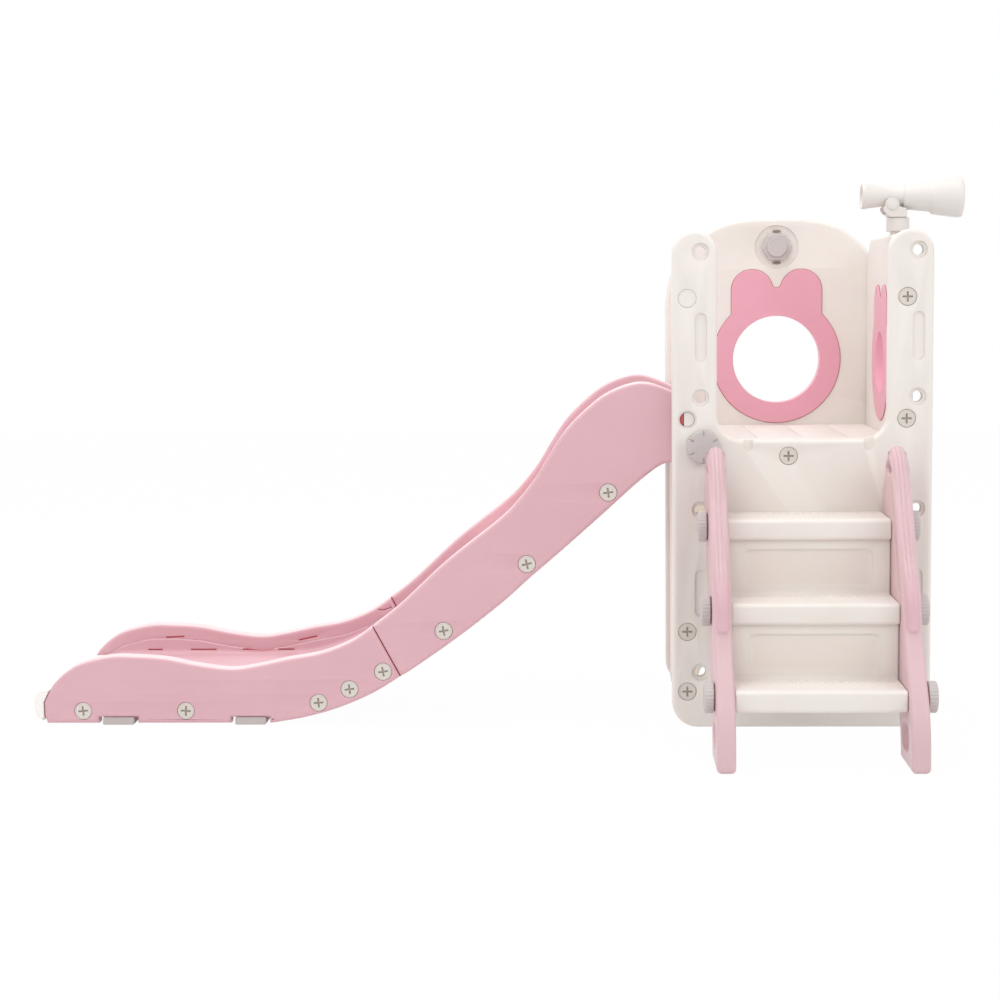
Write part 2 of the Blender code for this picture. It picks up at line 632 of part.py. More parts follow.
def side_panels():
    panel, cuts = side_panel("left_panel", LEFT_PANEL_X, SLIDE_SEAT_Z - GAP, PANEL_EDGE,
                             (LOWER_SCREW_Z, LOWER_SCREW_Z))
    boolean(panel, cuts)
    bore = SIDE_WINDOW_RADIUS * SIDE_SCALE + WINDOW_COLLAR + GAP
    window = circle(SIDE_RING_Y, SIDE_RING_Z, bore, SIDE_WINDOW_SIDES)
    panel, cuts = side_panel("right_panel", RIGHT_PANEL_X, RIGHT_PANEL_HEIGHT, RIGHT_TOP_RADIUS,
                             (UPPER_SCREW_Z, BACK_RIGHT_SCREW_Z), window)
    stepped_hole(cuts, (RIGHT_SCREW_X, TELESCOPE_Y, RIGHT_PANEL_HEIGHT), UP,
                 MAST_FOOT_RADIUS + SCREW_CLEARANCE, MAST_FOOT_DEPTH + GAP, sides=24)
    boolean(panel, cuts)


def platform():
    left, right = PLATFORM_X
    near, far = INNER_Y
    low = PLATFORM_TOP - PLATFORM_THICK
    corners = [(left, low), (right, low), (right, PLATFORM_TOP), (left, PLATFORM_TOP)]
    deck = node("platform", slab([rounded_corners(corners, 0.005, 2)], near, far, "XZ", 0.004), IVORY)
    cuts = bmesh.new()
    stepped_hole(cuts, (PLATFORM_SCREW_X, near, PLATFORM_SCREW_Z), FRONT_OUT, SHANK_BORE,
                 SCREW_GRIP + 2 * GAP)
    stepped_hole(cuts, (HOOK_KNOB_X, near, HOOK_KNOB_Z), FRONT_OUT, KNOB_BORE,
                 KNOB_SHANK_GRIP + 2 * GAP)
    for i in range(GROOVE_COUNT):
        x = left + GROOVE_SIDE_MARGIN + i * GROOVE_SPACING
        groove = slot_outline(x, near + GROOVE_END_MARGIN, far - GROOVE_END_MARGIN, GROOVE_WIDTH, 3)
        slab([groove], PLATFORM_TOP - GROOVE_DEPTH, PLATFORM_TOP + CUT_THROUGH, "XY", bm=cuts)
    boolean(deck, cuts)


# Window rings

def eared_outline(centre, middle, scale, radius, ear_radius, spread, ear_rise):
    """A circle with two round ears side by side on top."""
    ear_z = ear_rise - ear_radius
    meet = math.degrees(math.acos((spread + ear_radius) / radius))
    rise = math.sqrt((ear_radius + EAR_NOTCH_RADIUS) ** 2 - spread ** 2)
    lean = math.degrees(math.atan2(rise, spread))
    right = arc(0, 0, radius, -90, meet, 16)
    right += arc(spread, ear_z, ear_radius, 0, 180 - lean, 9)
    right += arc(0, ear_z + rise, EAR_NOTCH_RADIUS, -lean, -90, 3)
    return [(centre + scale * a, middle + scale * b) for a, b in right + mirrored(right)]


def window_ring(name, plane, outline, centre, middle, bore, face, seat, collar_end, sides):
    """A trim plate on the inner face of a panel, with a collar that lines the panel's hole."""
    bm = bmesh.new()
    place = PLANES[plane]
    plate = tidy_loop(outline)
    hole = tidy_loop(circle(centre, middle, bore, sides), clockwise=True)
    sleeve = tidy_loop(circle(centre, middle, bore + WINDOW_COLLAR, sides), clockwise=True)
    turn = math.copysign(1, seat - face)
    rim = ((0, RING_EDGE), (0.3 * RING_EDGE, 0.3 * RING_EDGE), (RING_EDGE, 0))

    def level(loop, depth, back=0.0):
        return row(bm, [place(p.x, p.y, depth) for p in (inset(loop, back) if back else loop)])

    outer = [level(plate, face + turn * depth, back) for depth, back in rim] + [level(plate, seat)]
    inner = [level(hole, face + turn * depth, back) for depth, back in rim] + [level(hole, collar_end)]
    around = [level(sleeve, seat), level(sleeve, collar_end)]
    for rows in (outer, inner, around):
        for first, second in zip(rows, rows[1:]):
            band(bm, first, second)
    cap(bm, [outer[0], inner[0]])
    cap(bm, [outer[-1], around[0]])
    band(bm, around[-1], inner[-1])
    node(name, bm, ROSE, roughness=0.35)


def window_rings():
    seat = TOWER_DEPTH - PANEL_THICK - GAP
    outline = eared_outline(BACK_CENTRE_X, BACK_RING_Z, BACK_SCALE, BACK_RING_RADIUS,
                            BACK_EAR_RADIUS, BACK_EAR_SPREAD, BACK_EAR_RISE)
    window_ring("back_window_ring", "XZ", outline, BACK_CENTRE_X, BACK_RING_Z,
                BACK_WINDOW_RADIUS * BACK_SCALE, seat - RING_THICK, seat, TOWER_DEPTH, BACK_WINDOW_SIDES)
    seat = RIGHT_PANEL_X - GAP
    outline = eared_outline(SIDE_RING_Y, SIDE_RING_Z, SIDE_SCALE, SIDE_RING_RADIUS,
                            SIDE_EAR_RADIUS, SIDE_EAR_SPREAD, SIDE_EAR_RISE)
    window_ring("side_window_ring", "YZ", outline, SIDE_RING_Y, SIDE_RING_Z, SIDE_WINDOW_RADIUS * SIDE_SCALE,
                seat - RING_THICK, seat, RIGHT_PANEL_X + SIDE_THICK, SIDE_WINDOW_SIDES)


def accessory_socket():
    """The bolt and hex nut in the back panel that carry a play accessory on its outer side."""
    floor = TOWER_DEPTH - PANEL_THICK + SOCKET_RECESS_DEPTH
    nut = loft([
        [Vector((BACK_CENTRE_X + x, floor - GAP - height, SOCKET_Z + z)) for x, z in circle(0, 0, radius, 6)]
        for height, radius in (
            (0, SOCKET_NUT_RADIUS), (SOCKET_NUT_THICK - 0.002, SOCKET_NUT_RADIUS),
            (SOCKET_NUT_THICK, SOCKET_NUT_RADIUS - 0.002),
        )
    ])
    item = node("socket_nut", nut, KNOB_GREY)
    cuts = bmesh.new()
    stepped_hole(cuts, (BACK_CENTRE_X, floor - SOCKET_NUT_THICK, SOCKET_Z), FRONT_OUT,
                 SOCKET_BOLT_RADIUS + SCREW_CLEARANCE, SOCKET_NUT_THICK + CUT_THROUGH, sides=24)
    boolean(item, cuts)
    face = floor - GAP - SOCKET_NUT_THICK - GAP
    length = TOWER_DEPTH - face
    head = SOCKET_BOLT_HEAD_RADIUS
    bolt = turned([
        (SOCKET_BOLT_RADIUS, -length), (SOCKET_BOLT_RADIUS, 0), (head, 0),
        (head, SOCKET_BOLT_HEAD_THICK - 0.0015), (head - 0.0015, SOCKET_BOLT_HEAD_THICK),
    ], 24, direction=Vector(FRONT_OUT))
    node("socket_bolt", bolt, KNOB_GREY, (BACK_CENTRE_X, face, SOCKET_Z))


# Ladder

def ladder_rail_outline():
    front = curve_through(LADDER_RAIL_FRONT)
    foot = arc(LADDER_FOOT_FRONT_Y, LADDER_FOOT_ROUND, LADDER_FOOT_ROUND, 180, 270, 3)
    foot += arc(LADDER_FOOT_BACK_Y, LADDER_FOOT_ROUND, LADDER_FOOT_ROUND, 270, 340, 2)
    back = curve_through(LADDER_RAIL_BACK)
    touch = [(-GAP, z) for z in LADDER_TOUCH_Z]
    return front + foot + back + touch + list(LADDER_RAIL_CROWN)


def ladder_rails():
    outline = ladder_rail_outline()
    grip = rounded_corners(GRIP_HOLE, GRIP_HOLE_RADIUS, 3)
    half = (FOOT_HOLE_SIZE[0] - FOOT_HOLE_SIZE[1]) / 2
    middle_y, middle_z = FOOT_HOLE_CENTRE
    radius = FOOT_HOLE_SIZE[1] / 2
    oval = arc(middle_y + half, middle_z, radius, -90, 90, 6)
    oval += arc(middle_y - half, middle_z, radius, 90, 270, 6)
    for name, side in (("left", -1), ("right", 1)):
        inner = side * LADDER_RAIL_INNER_X
        outer = side * LADDER_RAIL_OUTER_X
        plate = slab([outline, grip, oval], inner, outer, "YZ", LADDER_EDGE)
        rail = node(f"ladder_{name}_rail", plate, PALE_PINK)
        cuts = bmesh.new()
        for y, z in knob_places():
            stepped_hole(cuts, (outer, y, z), (side, 0, 0), KNOB_BORE, LADDER_RAIL_THICK + CUT_THROUGH)
        boolean(rail, cuts)


def knob_places():
    """Where the ladder knobs go in, as (y, z) in each step's front board."""
    return [(y + LADDER_KNOB_SETBACK, z - LADDER_KNOB_DROP) for y, z in zip(STEP_FRONT_Y, STEP_TOP)]


def steps():
    half = LADDER_RAIL_INNER_X - GAP
    radius = STEP_EDGE
    for i, (front, top) in enumerate(zip(STEP_FRONT_Y, STEP_TOP)):
        low = top - STEP_THICK
        nose = arc(front + radius, low + radius, radius, -90, -180, 3)
        nose += arc(front + radius, top - radius, radius, 180, 90, 3)
        recess = None
        if i + 1 < len(STEP_TOP):
            riser = STEP_FRONT_Y[i + 1] + RISER_SETBACK
            back = riser + RISER_THICK
            ceiling = STEP_TOP[i + 1] - STEP_THICK - GAP
            outline = nose + [(riser, top), (riser, ceiling), (back, ceiling), (back, low)]
            recess = (riser, top + 0.005, ceiling - 0.017)
        else:
            outline = nose + [(-GAP, top), (-GAP, low)]
        item = node(f"step_{i + 1}", slab([outline], -half, half, "YZ", 0.004), IVORY)
        cuts = bmesh.new()
        y, z = knob_places()[i]
        for side in (-1, 1):
            stepped_hole(cuts, (side * half, y, z), (side, 0, 0), KNOB_BORE, KNOB_SHANK_GRIP + 2 * GAP)
        if recess:
            face, bottom, ceiling = recess
            wide = half - RISER_PANEL_MARGIN
            corners = [(-wide, bottom), (wide, bottom), (wide, ceiling), (-wide, ceiling)]
            slab([rounded_corners(corners, 0.012)], face - 0.003, face + RISER_PANEL_DEPTH, "XZ", bm=cuts)
        boolean(item, cuts)


def knob(name, place, direction, radius, wave, per_wave, waves, passes):
    """A hand screw: fluted head, thin flange and shank; its origin is on its axis, at the face it clamps."""
    count = per_wave * waves
    turns = [2 * math.pi * i / count for i in range(count)]
    spin = UP.rotation_difference(Vector(direction))

    def ring(height, size, flute=0.0):
        rim = [size - flute * (0.5 - 0.5 * math.cos(waves * t)) ** wave for t in turns]
        return [Vector((r * math.cos(t), r * math.sin(t), height)) for r, t in zip(rim, turns)]

    flute = KNOB_FLUTE_DEPTH if wave == 1 else 2 * KNOB_FLUTE_DEPTH
    flange_top = GAP + KNOB_FLANGE_THICK
    bm = loft([
        ring(-passes - KNOB_SHANK_GRIP, KNOB_SHANK_RADIUS),
        ring(GAP, KNOB_SHANK_RADIUS),
        ring(GAP, KNOB_FLANGE_RADIUS),
        ring(flange_top, KNOB_FLANGE_RADIUS),
        ring(flange_top, radius, flute),
        ring(KNOB_LENGTH, radius, flute),
        ring(KNOB_LENGTH + KNOB_EDGE, radius - KNOB_EDGE, flute),
    ])
    node(name, bm, KNOB_GREY, place, spin, roughness=0.5)


def knobs():
    for i, (y, z) in enumerate(knob_places()):
        for name, side in (("left", -1), ("right", 1)):
            knob(f"ladder_knob_{name}_{i + 1}", (side * LADDER_RAIL_OUTER_X, y, z), (side, 0, 0),
                 KNOB_RADIUS, 1, 3, KNOB_FLUTES, LADDER_RAIL_THICK)
    knob("hook_knob", (HOOK_KNOB_X, 0, HOOK_KNOB_Z), FRONT_OUT, HOOK_KNOB_RADIUS, 3, 6,
         HOOK_KNOB_NOTCHES, PANEL_THICK)


# Slide

def stretched(points):
    """A slide curve moved along to the tower, with its height fitted to the platform."""
    low, high = RAIL_BOTTOM_LOWER[-1][1], RAIL_BOTTOM_UPPER[0][1]
    scale = (SLIDE_SEAT_Z - RUNOUT_BOTTOM_Z) / (high - low)
    return [(x + SLIDE_SHIFT, RUNOUT_BOTTOM_Z + (z - low) * scale) for x, z in points]


def pad_places():
    return [(low + SLIDE_SHIFT, high + SLIDE_SHIFT) for low, high in sorted(PAD_SPANS)]


def pad_notches():
    """The underside of the run-out from the bend to the front, with a notch over each pad."""
    made = []
    roof = RUNOUT_BOTTOM_Z + PAD_NOTCH_HEIGHT
    for low, high in reversed(pad_places()):
        left, right = low - PAD_NOTCH_MARGIN, high + PAD_NOTCH_MARGIN
        made += [(right, RUNOUT_BOTTOM_Z), (right, roof), (left, roof), (left, RUNOUT_BOTTOM_Z)]
    return made


def lower_rail_outline():
    top = curve_through(stretched(RAIL_TOP_LOWER))
    bottom = curve_through(stretched(RAIL_BOTTOM_LOWER))
    nose = [(SLIDE_FRONT_X + 0.006, RUNOUT_BOTTOM_Z), (SLIDE_FRONT_X + 0.001, 0.020)]
    return top + bottom + pad_notches() + nose


def upper_rail_outline():
    top = curve_through(stretched(RAIL_TOP_UPPER))
    bottom = curve_through(stretched(RAIL_BOTTOM_UPPER))
    seam = [(x + SEAM_GAP, z) for x, z in (bottom[-1], top[0])]
    return seam[1:] + top[1:] + [(SLIDE_TOP_X, SLIDE_SEAT_Z)] + bottom[:-1] + seam[:1]


def slide_rails():
    near, far = INNER_Y
    sides = (
        ("near", near, near + SLIDE_RAIL_THICK, FRONT_OUT),
        ("far", far, far - SLIDE_RAIL_THICK, BACK_OUT),
    )
    parts = (("lower", lower_rail_outline(), LOWER_SCREWS), ("upper", upper_rail_outline(), UPPER_SCREWS))
    for side, outer, inner, out in sides:
        for part, outline, screws in parts:
            plate = slab([outline], outer, inner, "XZ", SLIDE_EDGE)
            rail = node(f"slide_{part}_rail_{side}", plate, PINK)
            cuts = bmesh.new()
            for x, z in stretched(screws):
                stepped_hole(cuts, (x, outer, z), out, SHANK_BORE, SLIDE_RAIL_THICK + CUT_THROUGH,
                             SCREW_SEAT_RADIUS, SEAT_DEPTH)
            boolean(rail, cuts)


def tray_section(x):
    """The tray's H-shaped cross-section at x: two side walls with the bed between them."""
    near, far = INNER_Y
    outer = (near + SLIDE_RAIL_THICK + GAP, far - SLIDE_RAIL_THICK - GAP)
    inner = (outer[0] + TRAY_WALL, outer[1] - TRAY_WALL)
    ends = [(SLIDE_FRONT_X, RUNOUT_BOTTOM_Z), (SLIDE_TOP_X, SLIDE_SEAT_Z)]
    bed = height_at(stretched(BED_TOP), x)
    rail_top = height_at(stretched(RAIL_TOP_LOWER + RAIL_TOP_UPPER), x)
    rail_bottom = height_at(stretched(RAIL_BOTTOM_LOWER + RAIL_BOTTOM_UPPER) + ends, x)
    top = max(rail_top - TRAY_FLANGE_DROP, bed + TRAY_MIN_FLANGE)
    bottom = max(rail_bottom + TRAY_BOTTOM_LIFT, RUNOUT_BOTTOM_Z + TRAY_WALL_LIFT)
    under = bed - TRAY_WALL
    section = [(outer[0], bottom), (outer[0], top), (inner[0], top), (inner[0], bed)]
    section += [(inner[1], bed), (inner[1], top), (outer[1], top), (outer[1], bottom), (inner[1], bottom)]
    section += [(inner[1], under), (inner[0], under), (inner[0], bottom)]
    return [Vector((x, y, z)) for y, z in section]


def slide_trays():
    near, far = INNER_Y
    seam = TRAY_SEAM_X + SLIDE_SHIFT
    spans = (
        ("slide_lower_tray", SLIDE_FRONT_X, seam - SEAM_GAP / 2, LOWER_SCREWS),
        ("slide_upper_tray", seam + SEAM_GAP / 2, SLIDE_TOP_X, UPPER_SCREWS),
    )
    for name, start, end, screws in spans:
        stations = [start + (end - start) * i / TRAY_STATIONS for i in range(TRAY_STATIONS + 1)]
        tray = node(name, loft([tray_section(x) for x in stations]), PINK)
        cuts = bmesh.new()
        for x, z in stretched(screws):
            if start < x < end:
                for y, out in ((near + SLIDE_RAIL_THICK, FRONT_OUT), (far - SLIDE_RAIL_THICK, BACK_OUT)):
                    stepped_hole(cuts, (x, y, z), out, SHANK_BORE, TRAY_WALL + CUT_THROUGH)
        boolean(tray, cuts)


def end_roll():
    """The white bumper across the slide's foot, with a lap that lies over the lip of the bed."""
    back = SLIDE_FRONT_X - GAP
    middle = (END_ROLL_BOTTOM + END_ROLL_TOP) / 2
    half = (END_ROLL_TOP - END_ROLL_BOTTOM) / 2
    turns = [math.pi * i / 10 for i in range(11)]
    bulge = [(back - END_ROLL_REACH * math.sin(t) ** 0.8, middle - half * math.cos(t)) for t in turns]
    roll = node("slide_end_roll", slab([bulge], INNER_Y[0], INNER_Y[1], "XZ", 0.008, 3), NEAR_WHITE)
    lap_end = SLIDE_FRONT_X + (TRAY_SEAM_X + SLIDE_SHIFT - SEAM_GAP / 2 - SLIDE_FRONT_X) / TRAY_STATIONS
    bed = stretched(BED_TOP)
    lip = height_at(bed, SLIDE_FRONT_X) + GAP
    inland = height_at(bed, lap_end) + GAP
    lap = [(back - END_ROLL_ROOT, lip), (SLIDE_FRONT_X, lip), (lap_end, inland)]
    lap += [(lap_end, inland + END_ROLL_LAP_EDGE), (SLIDE_FRONT_X, END_ROLL_TOP)]
    lap.append((back - END_ROLL_ROOT, END_ROLL_TOP - 4 * GAP))
    wall = SLIDE_RAIL_THICK + GAP + TRAY_WALL + GAP
    boolean(roll, slab([lap], INNER_Y[0] + wall, INNER_Y[1] - wall, "XZ"), "UNION")


def floor_pads():
    roof = RUNOUT_BOTTOM_Z + PAD_NOTCH_HEIGHT - GAP
    for i, (low, high) in enumerate(pad_places()):
        outline = rounded_corners([(low, 0.0), (high, 0.0), (high, roof), (low, roof)], 0.002, 2)
        plate = slab([outline], INNER_Y[0], INNER_Y[1], "XZ")
        node(f"slide_floor_pad_{i + 1}", plate, PAD_GREY, roughness=0.7)


# Screws

def screw(name, place, direction, length, spin=0.0, plain=False, colour=WARM_GREY):
    """A large-headed plastic screw with a cross recess; its head's outer face is at the origin."""
    radius = SCREW_HEAD_RADIUS
    profile = [
        (SCREW_SHANK_RADIUS, -length), (SCREW_SHANK_RADIUS, -SCREW_HEAD_HEIGHT), (radius, -SCREW_HEAD_HEIGHT),
        (radius, -0.001),
    ]
    bm = bmesh.new()
    rings = [row(bm, [Vector((a, b, z)) for a, b in circle(0, 0, r, SCREW_SIDES)]) for r, z in profile]
    rings.append(row(bm, [Vector((a, b, 0)) for a, b in circle(0, 0, radius - 0.001, SCREW_SIDES)]))
    for first, second in zip(rings, rings[1:]):
        band(bm, first, second)
    bm.faces.new(rings[0])
    if plain:
        bm.faces.new(rings[-1])
    else:
        long, thin = CROSS_LENGTH / 2, CROSS_WIDTH / 2
        arm = [(long, -thin), (long, thin), (thin, thin)]
        cross = []
        for _ in range(4):
            cross += arm
            arm = [(-b, a) for a, b in arm]
        mouth = row(bm, [Vector((a, b, 0)) for a, b in cross])
        floor = row(bm, [Vector((a, b, -CROSS_DEPTH)) for a, b in cross])
        cap(bm, [rings[-1], list(reversed(mouth))])
        band(bm, mouth, floor)
        bm.faces.new(floor)
    turn = UP.rotation_difference(Vector(direction)) @ Matrix.Rotation(spin, 3, "Z").to_quaternion()
    node(name, bm, colour, place, turn, roughness=0.5)


def tower_screws():
    for i, z in enumerate(LOWER_SCREW_Z):
        screw(f"front_screw_left_{i + 1}", (LEFT_SCREW_X, 0, z), FRONT_OUT, TOWER_SHANK)
        screw(f"back_screw_left_{i + 1}", (LEFT_SCREW_X, TOWER_DEPTH, z), BACK_OUT, TOWER_SHANK)
    screw("front_hole_cap", (LEFT_SCREW_X, 0, CAP_Z), FRONT_OUT, CAP_LENGTH, plain=True, colour=IVORY)
    for i, z in enumerate(UPPER_SCREW_Z):
        screw(f"front_screw_right_{i + 1}", (RIGHT_SCREW_X, 0, z), FRONT_OUT, TOWER_SHANK)
    for i, z in enumerate(BACK_RIGHT_SCREW_Z):
        screw(f"back_screw_right_{i + 1}", (RIGHT_SCREW_X, TOWER_DEPTH, z), BACK_OUT, TOWER_SHANK)
    screw("platform_screw", (PLATFORM_SCREW_X, 0, PLATFORM_SCREW_Z), FRONT_OUT, TOWER_SHANK)


def slide_screws():
    length = SLIDE_RAIL_THICK + TRAY_WALL + 0.002
    top = stretched(RAIL_TOP_LOWER + RAIL_TOP_UPPER)
    for side, y, out in (("near", INNER_Y[0], FRONT_OUT), ("far", INNER_Y[1], BACK_OUT)):
        for i, (x, z) in enumerate(stretched(LOWER_SCREWS + UPPER_SCREWS)):
            slope = math.atan2(height_at(top, x + 0.02) - height_at(top, x - 0.02), 0.04)
            screw(f"slide_screw_{side}_{i + 1}", (x, y, z), out, length, slope)


# Telescope

def telescope():
    """The mast on the right panel, the yoke that turns on it, and the pin that the barrel tilts about."""
    centre = Vector((RIGHT_SCREW_X, TELESCOPE_Y, 0))
    bore = SPINDLE_RADIUS + TURN_GAP
    seat = RIGHT_PANEL_HEIGHT + GAP
    mast = turned([
        (MAST_FOOT_RADIUS, RIGHT_PANEL_HEIGHT - MAST_FOOT_DEPTH), (MAST_FOOT_RADIUS, seat),
        (MAST_NECK_RADIUS, seat), (MAST_NECK_RADIUS, MAST_COLLAR_BOTTOM),
        (MAST_COLLAR_RADIUS, MAST_COLLAR_BOTTOM), (MAST_COLLAR_RADIUS, MAST_COLLAR_TOP),
        (bore, MAST_COLLAR_TOP), (bore, MAST_COLLAR_TOP - SPINDLE_LENGTH - GAP),
    ], 24, centre)
    node("telescope_mast", mast, NEAR_WHITE)

    base = MAST_COLLAR_TOP + GAP
    half = YOKE_WIDTH / 2
    pin_x = -YOKE_PIVOT_SETBACK
    outline = [(YOKE_FRONT, base), (YOKE_FRONT, PIVOT.z - YOKE_SHOULDER_DROP)]
    outline += arc(pin_x, PIVOT.z, YOKE_BOSS_RADIUS, -20, 190, 12)
    outline += [(pin_x + x, PIVOT.z + z) for x, z in YOKE_REAR] + [(pin_x - 0.004, base)]
    yoke = node("telescope_yoke", slab([outline], -half, half, "XZ", 0.0015, 1), NEAR_WHITE, centre)
    spindle = turned([(SPINDLE_RADIUS, -SPINDLE_LENGTH), (SPINDLE_RADIUS, 0.003)], 20, Vector((0, 0, base)))
    boolean(yoke, spindle, "UNION")
    slot = half - YOKE_CHEEK
    wide = YOKE_WIDTH
    top = PIVOT.z + 2 * YOKE_BOSS_RADIUS
    floor = base + YOKE_FLOOR
    cuts = slab([[(-wide, floor), (wide, floor), (wide, top), (-wide, top)]], -slot, slot, "XZ")
    pin_bore = TILT_PIN_RADIUS + TURN_GAP
    turned([(pin_bore, -YOKE_WIDTH), (pin_bore, YOKE_WIDTH)], 16, PIVOT - centre, Vector(BACK_OUT), cuts)
    boolean(yoke, cuts)

    seat = half + GAP
    pin_end = [
        (TILT_PIN_RADIUS, seat), (TILT_PIN_HEAD_RADIUS, seat), (TILT_PIN_HEAD_RADIUS, seat + 0.001),
        (TILT_PIN_HEAD_RADIUS - 0.001, seat + TILT_PIN_HEAD_THICK),
    ]
    profile = [(radius, -height) for radius, height in reversed(pin_end)] + pin_end
    node("telescope_pin", turned(profile, 16, direction=Vector(BACK_OUT)), NEAR_WHITE, PIVOT)
    telescope_barrel(slot - TURN_GAP, pin_bore)


def telescope_barrel(lug_half, pin_bore):
    """The barrel about its tilt pin: eyepiece at the rear, hood at the front, with its axis above the pin."""
    rear, front = BARREL_REAR, BARREL_FRONT
    lens = HOOD_FRONT_RADIUS - LENS_WALL
    profile = [
        (EYEPIECE_RADIUS - 0.006, rear + EYEPIECE_RECESS), (EYEPIECE_RADIUS - 0.005, rear),
        (EYEPIECE_RADIUS - 0.001, rear), (EYEPIECE_RADIUS, rear + 0.001), (EYEPIECE_RADIUS, rear + 0.008),
        (GRIP_RADIUS + 0.0005, rear + 0.041), (GRIP_RADIUS, rear + 0.043), (GRIP_RADIUS, rear + 0.080),
        (TUBE_REAR_RADIUS, rear + 0.083), (TUBE_FRONT_RADIUS, front - 0.0636),
        (HOOD_REAR_RADIUS, front - 0.0565), (HOOD_FRONT_RADIUS, front - 0.010),
        (HOOD_FRONT_RADIUS - 0.001, front - HOOD_ROUND), (HOOD_FRONT_RADIUS - HOOD_ROUND, front),
        (lens, front), (lens - 0.003, front - HOOD_RECESS),
    ]
    base = Vector((0, 0, BARREL_AXIS_RISE))
    turn = Matrix.Rotation(BARREL_DROOP, 3, "Y").to_quaternion()
    tube = turned(profile, 20, base, Vector((1, 0, 0)))
    barrel = node("telescope_barrel", tube, NEAR_WHITE, PIVOT, turn)
    lug = turned([(LUG_RADIUS, -lug_half), (LUG_RADIUS, lug_half)], 20, direction=Vector(BACK_OUT))
    boolean(barrel, lug, "UNION")
    bore = turned([(pin_bore, -YOKE_WIDTH), (pin_bore, YOKE_WIDTH)], 16, direction=Vector(BACK_OUT))
    boolean(barrel, bore)


def place_frame():
    """Puts the origin at the middle of the set's footprint."""
    front_y = min(y for y, z in ladder_rail_outline())
    nose_x = SLIDE_FRONT_X - GAP - END_ROLL_REACH
    lip = BARREL_AXIS_RISE + HOOD_FRONT_RADIUS - HOOD_ROUND
    hood_x = PIVOT.x + BARREL_FRONT * math.cos(BARREL_DROOP) + lip * math.sin(BARREL_DROOP)
    frame.location = (-(nose_x + hood_x) / 2, -(front_y + TOWER_DEPTH) / 2, 0)


front_panel()
back_panel()
side_panels()
platform()
window_rings()
accessory_socket()
ladder_rails()
steps()
knobs()
slide_rails()
slide_trays()
end_roll()
floor_pads()
tower_screws()
slide_screws()
telescope()
place_frame()
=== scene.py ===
import json
import math

import bmesh
import bpy
from mathutils import Matrix, Vector
from mathutils.geometry import tessellate_polygon

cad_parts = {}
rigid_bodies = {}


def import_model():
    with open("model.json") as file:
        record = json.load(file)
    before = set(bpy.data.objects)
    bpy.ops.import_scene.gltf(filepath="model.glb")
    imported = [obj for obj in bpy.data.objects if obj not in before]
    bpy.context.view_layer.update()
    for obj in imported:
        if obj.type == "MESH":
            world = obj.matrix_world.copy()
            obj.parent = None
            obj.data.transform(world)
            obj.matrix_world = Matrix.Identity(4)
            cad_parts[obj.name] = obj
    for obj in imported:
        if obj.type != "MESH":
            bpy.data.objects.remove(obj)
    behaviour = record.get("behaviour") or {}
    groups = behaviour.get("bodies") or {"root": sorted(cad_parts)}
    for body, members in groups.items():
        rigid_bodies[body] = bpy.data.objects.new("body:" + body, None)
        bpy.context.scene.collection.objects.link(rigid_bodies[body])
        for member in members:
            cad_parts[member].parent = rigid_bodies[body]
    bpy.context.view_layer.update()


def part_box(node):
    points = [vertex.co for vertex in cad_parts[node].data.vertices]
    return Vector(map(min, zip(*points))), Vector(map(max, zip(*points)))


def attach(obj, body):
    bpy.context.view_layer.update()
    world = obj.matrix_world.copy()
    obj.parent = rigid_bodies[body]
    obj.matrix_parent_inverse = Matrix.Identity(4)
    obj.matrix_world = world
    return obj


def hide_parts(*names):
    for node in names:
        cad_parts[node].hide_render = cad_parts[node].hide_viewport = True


for stale in list(bpy.data.objects):
    bpy.data.objects.remove(stale, do_unlink=True)

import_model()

# Studio: a white floor that runs to a white background, a large soft lamp from the front left and above, and
# weaker ones from the other sides and in the two shaded rooms. The camera stands where the photograph was
# taken: 4.1 m in front of the tower, a little left of it and below its top, with a long lens.
panel_low, panel_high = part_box("front_panel")
tower = Vector(((panel_low.x + panel_high.x) / 2, panel_low.y, 0.0))

FOCAL_PIXELS = 2130.0
PHOTO_PIXELS = 1000.0
CAMERA_PLACE = Vector((-0.4142, -4.1121, 0.8528))
CAMERA_YAW = math.radians(-2.3534)
CAMERA_PITCH = math.radians(5.6076)
CAMERA_ROLL = math.radians(-0.536)


def placed(name, data):
    """A new object in the scene."""
    made = bpy.data.objects.new(name, data)
    bpy.context.scene.collection.objects.link(made)
    return made


camera = placed("studio_camera", bpy.data.cameras.new("studio_camera"))
camera.data.sensor_width = 36.0
camera.data.lens = FOCAL_PIXELS * camera.data.sensor_width / PHOTO_PIXELS
forward = Vector((
    math.sin(CAMERA_YAW) * math.cos(CAMERA_PITCH),
    math.cos(CAMERA_YAW) * math.cos(CAMERA_PITCH),
    -math.sin(CAMERA_PITCH),
))
level_right = Vector((math.cos(CAMERA_YAW), -math.sin(CAMERA_YAW), 0.0))
level_up = level_right.cross(forward)
right = level_right * math.cos(CAMERA_ROLL) + level_up * math.sin(CAMERA_ROLL)
up = level_up * math.cos(CAMERA_ROLL) - level_right * math.sin(CAMERA_ROLL)
turn = Matrix((right, up, -forward)).transposed().to_4x4()
camera.matrix_world = Matrix.Translation(tower + CAMERA_PLACE) @ turn
bpy.context.scene.camera = camera
bpy.context.scene.view_settings.view_transform = "Standard"


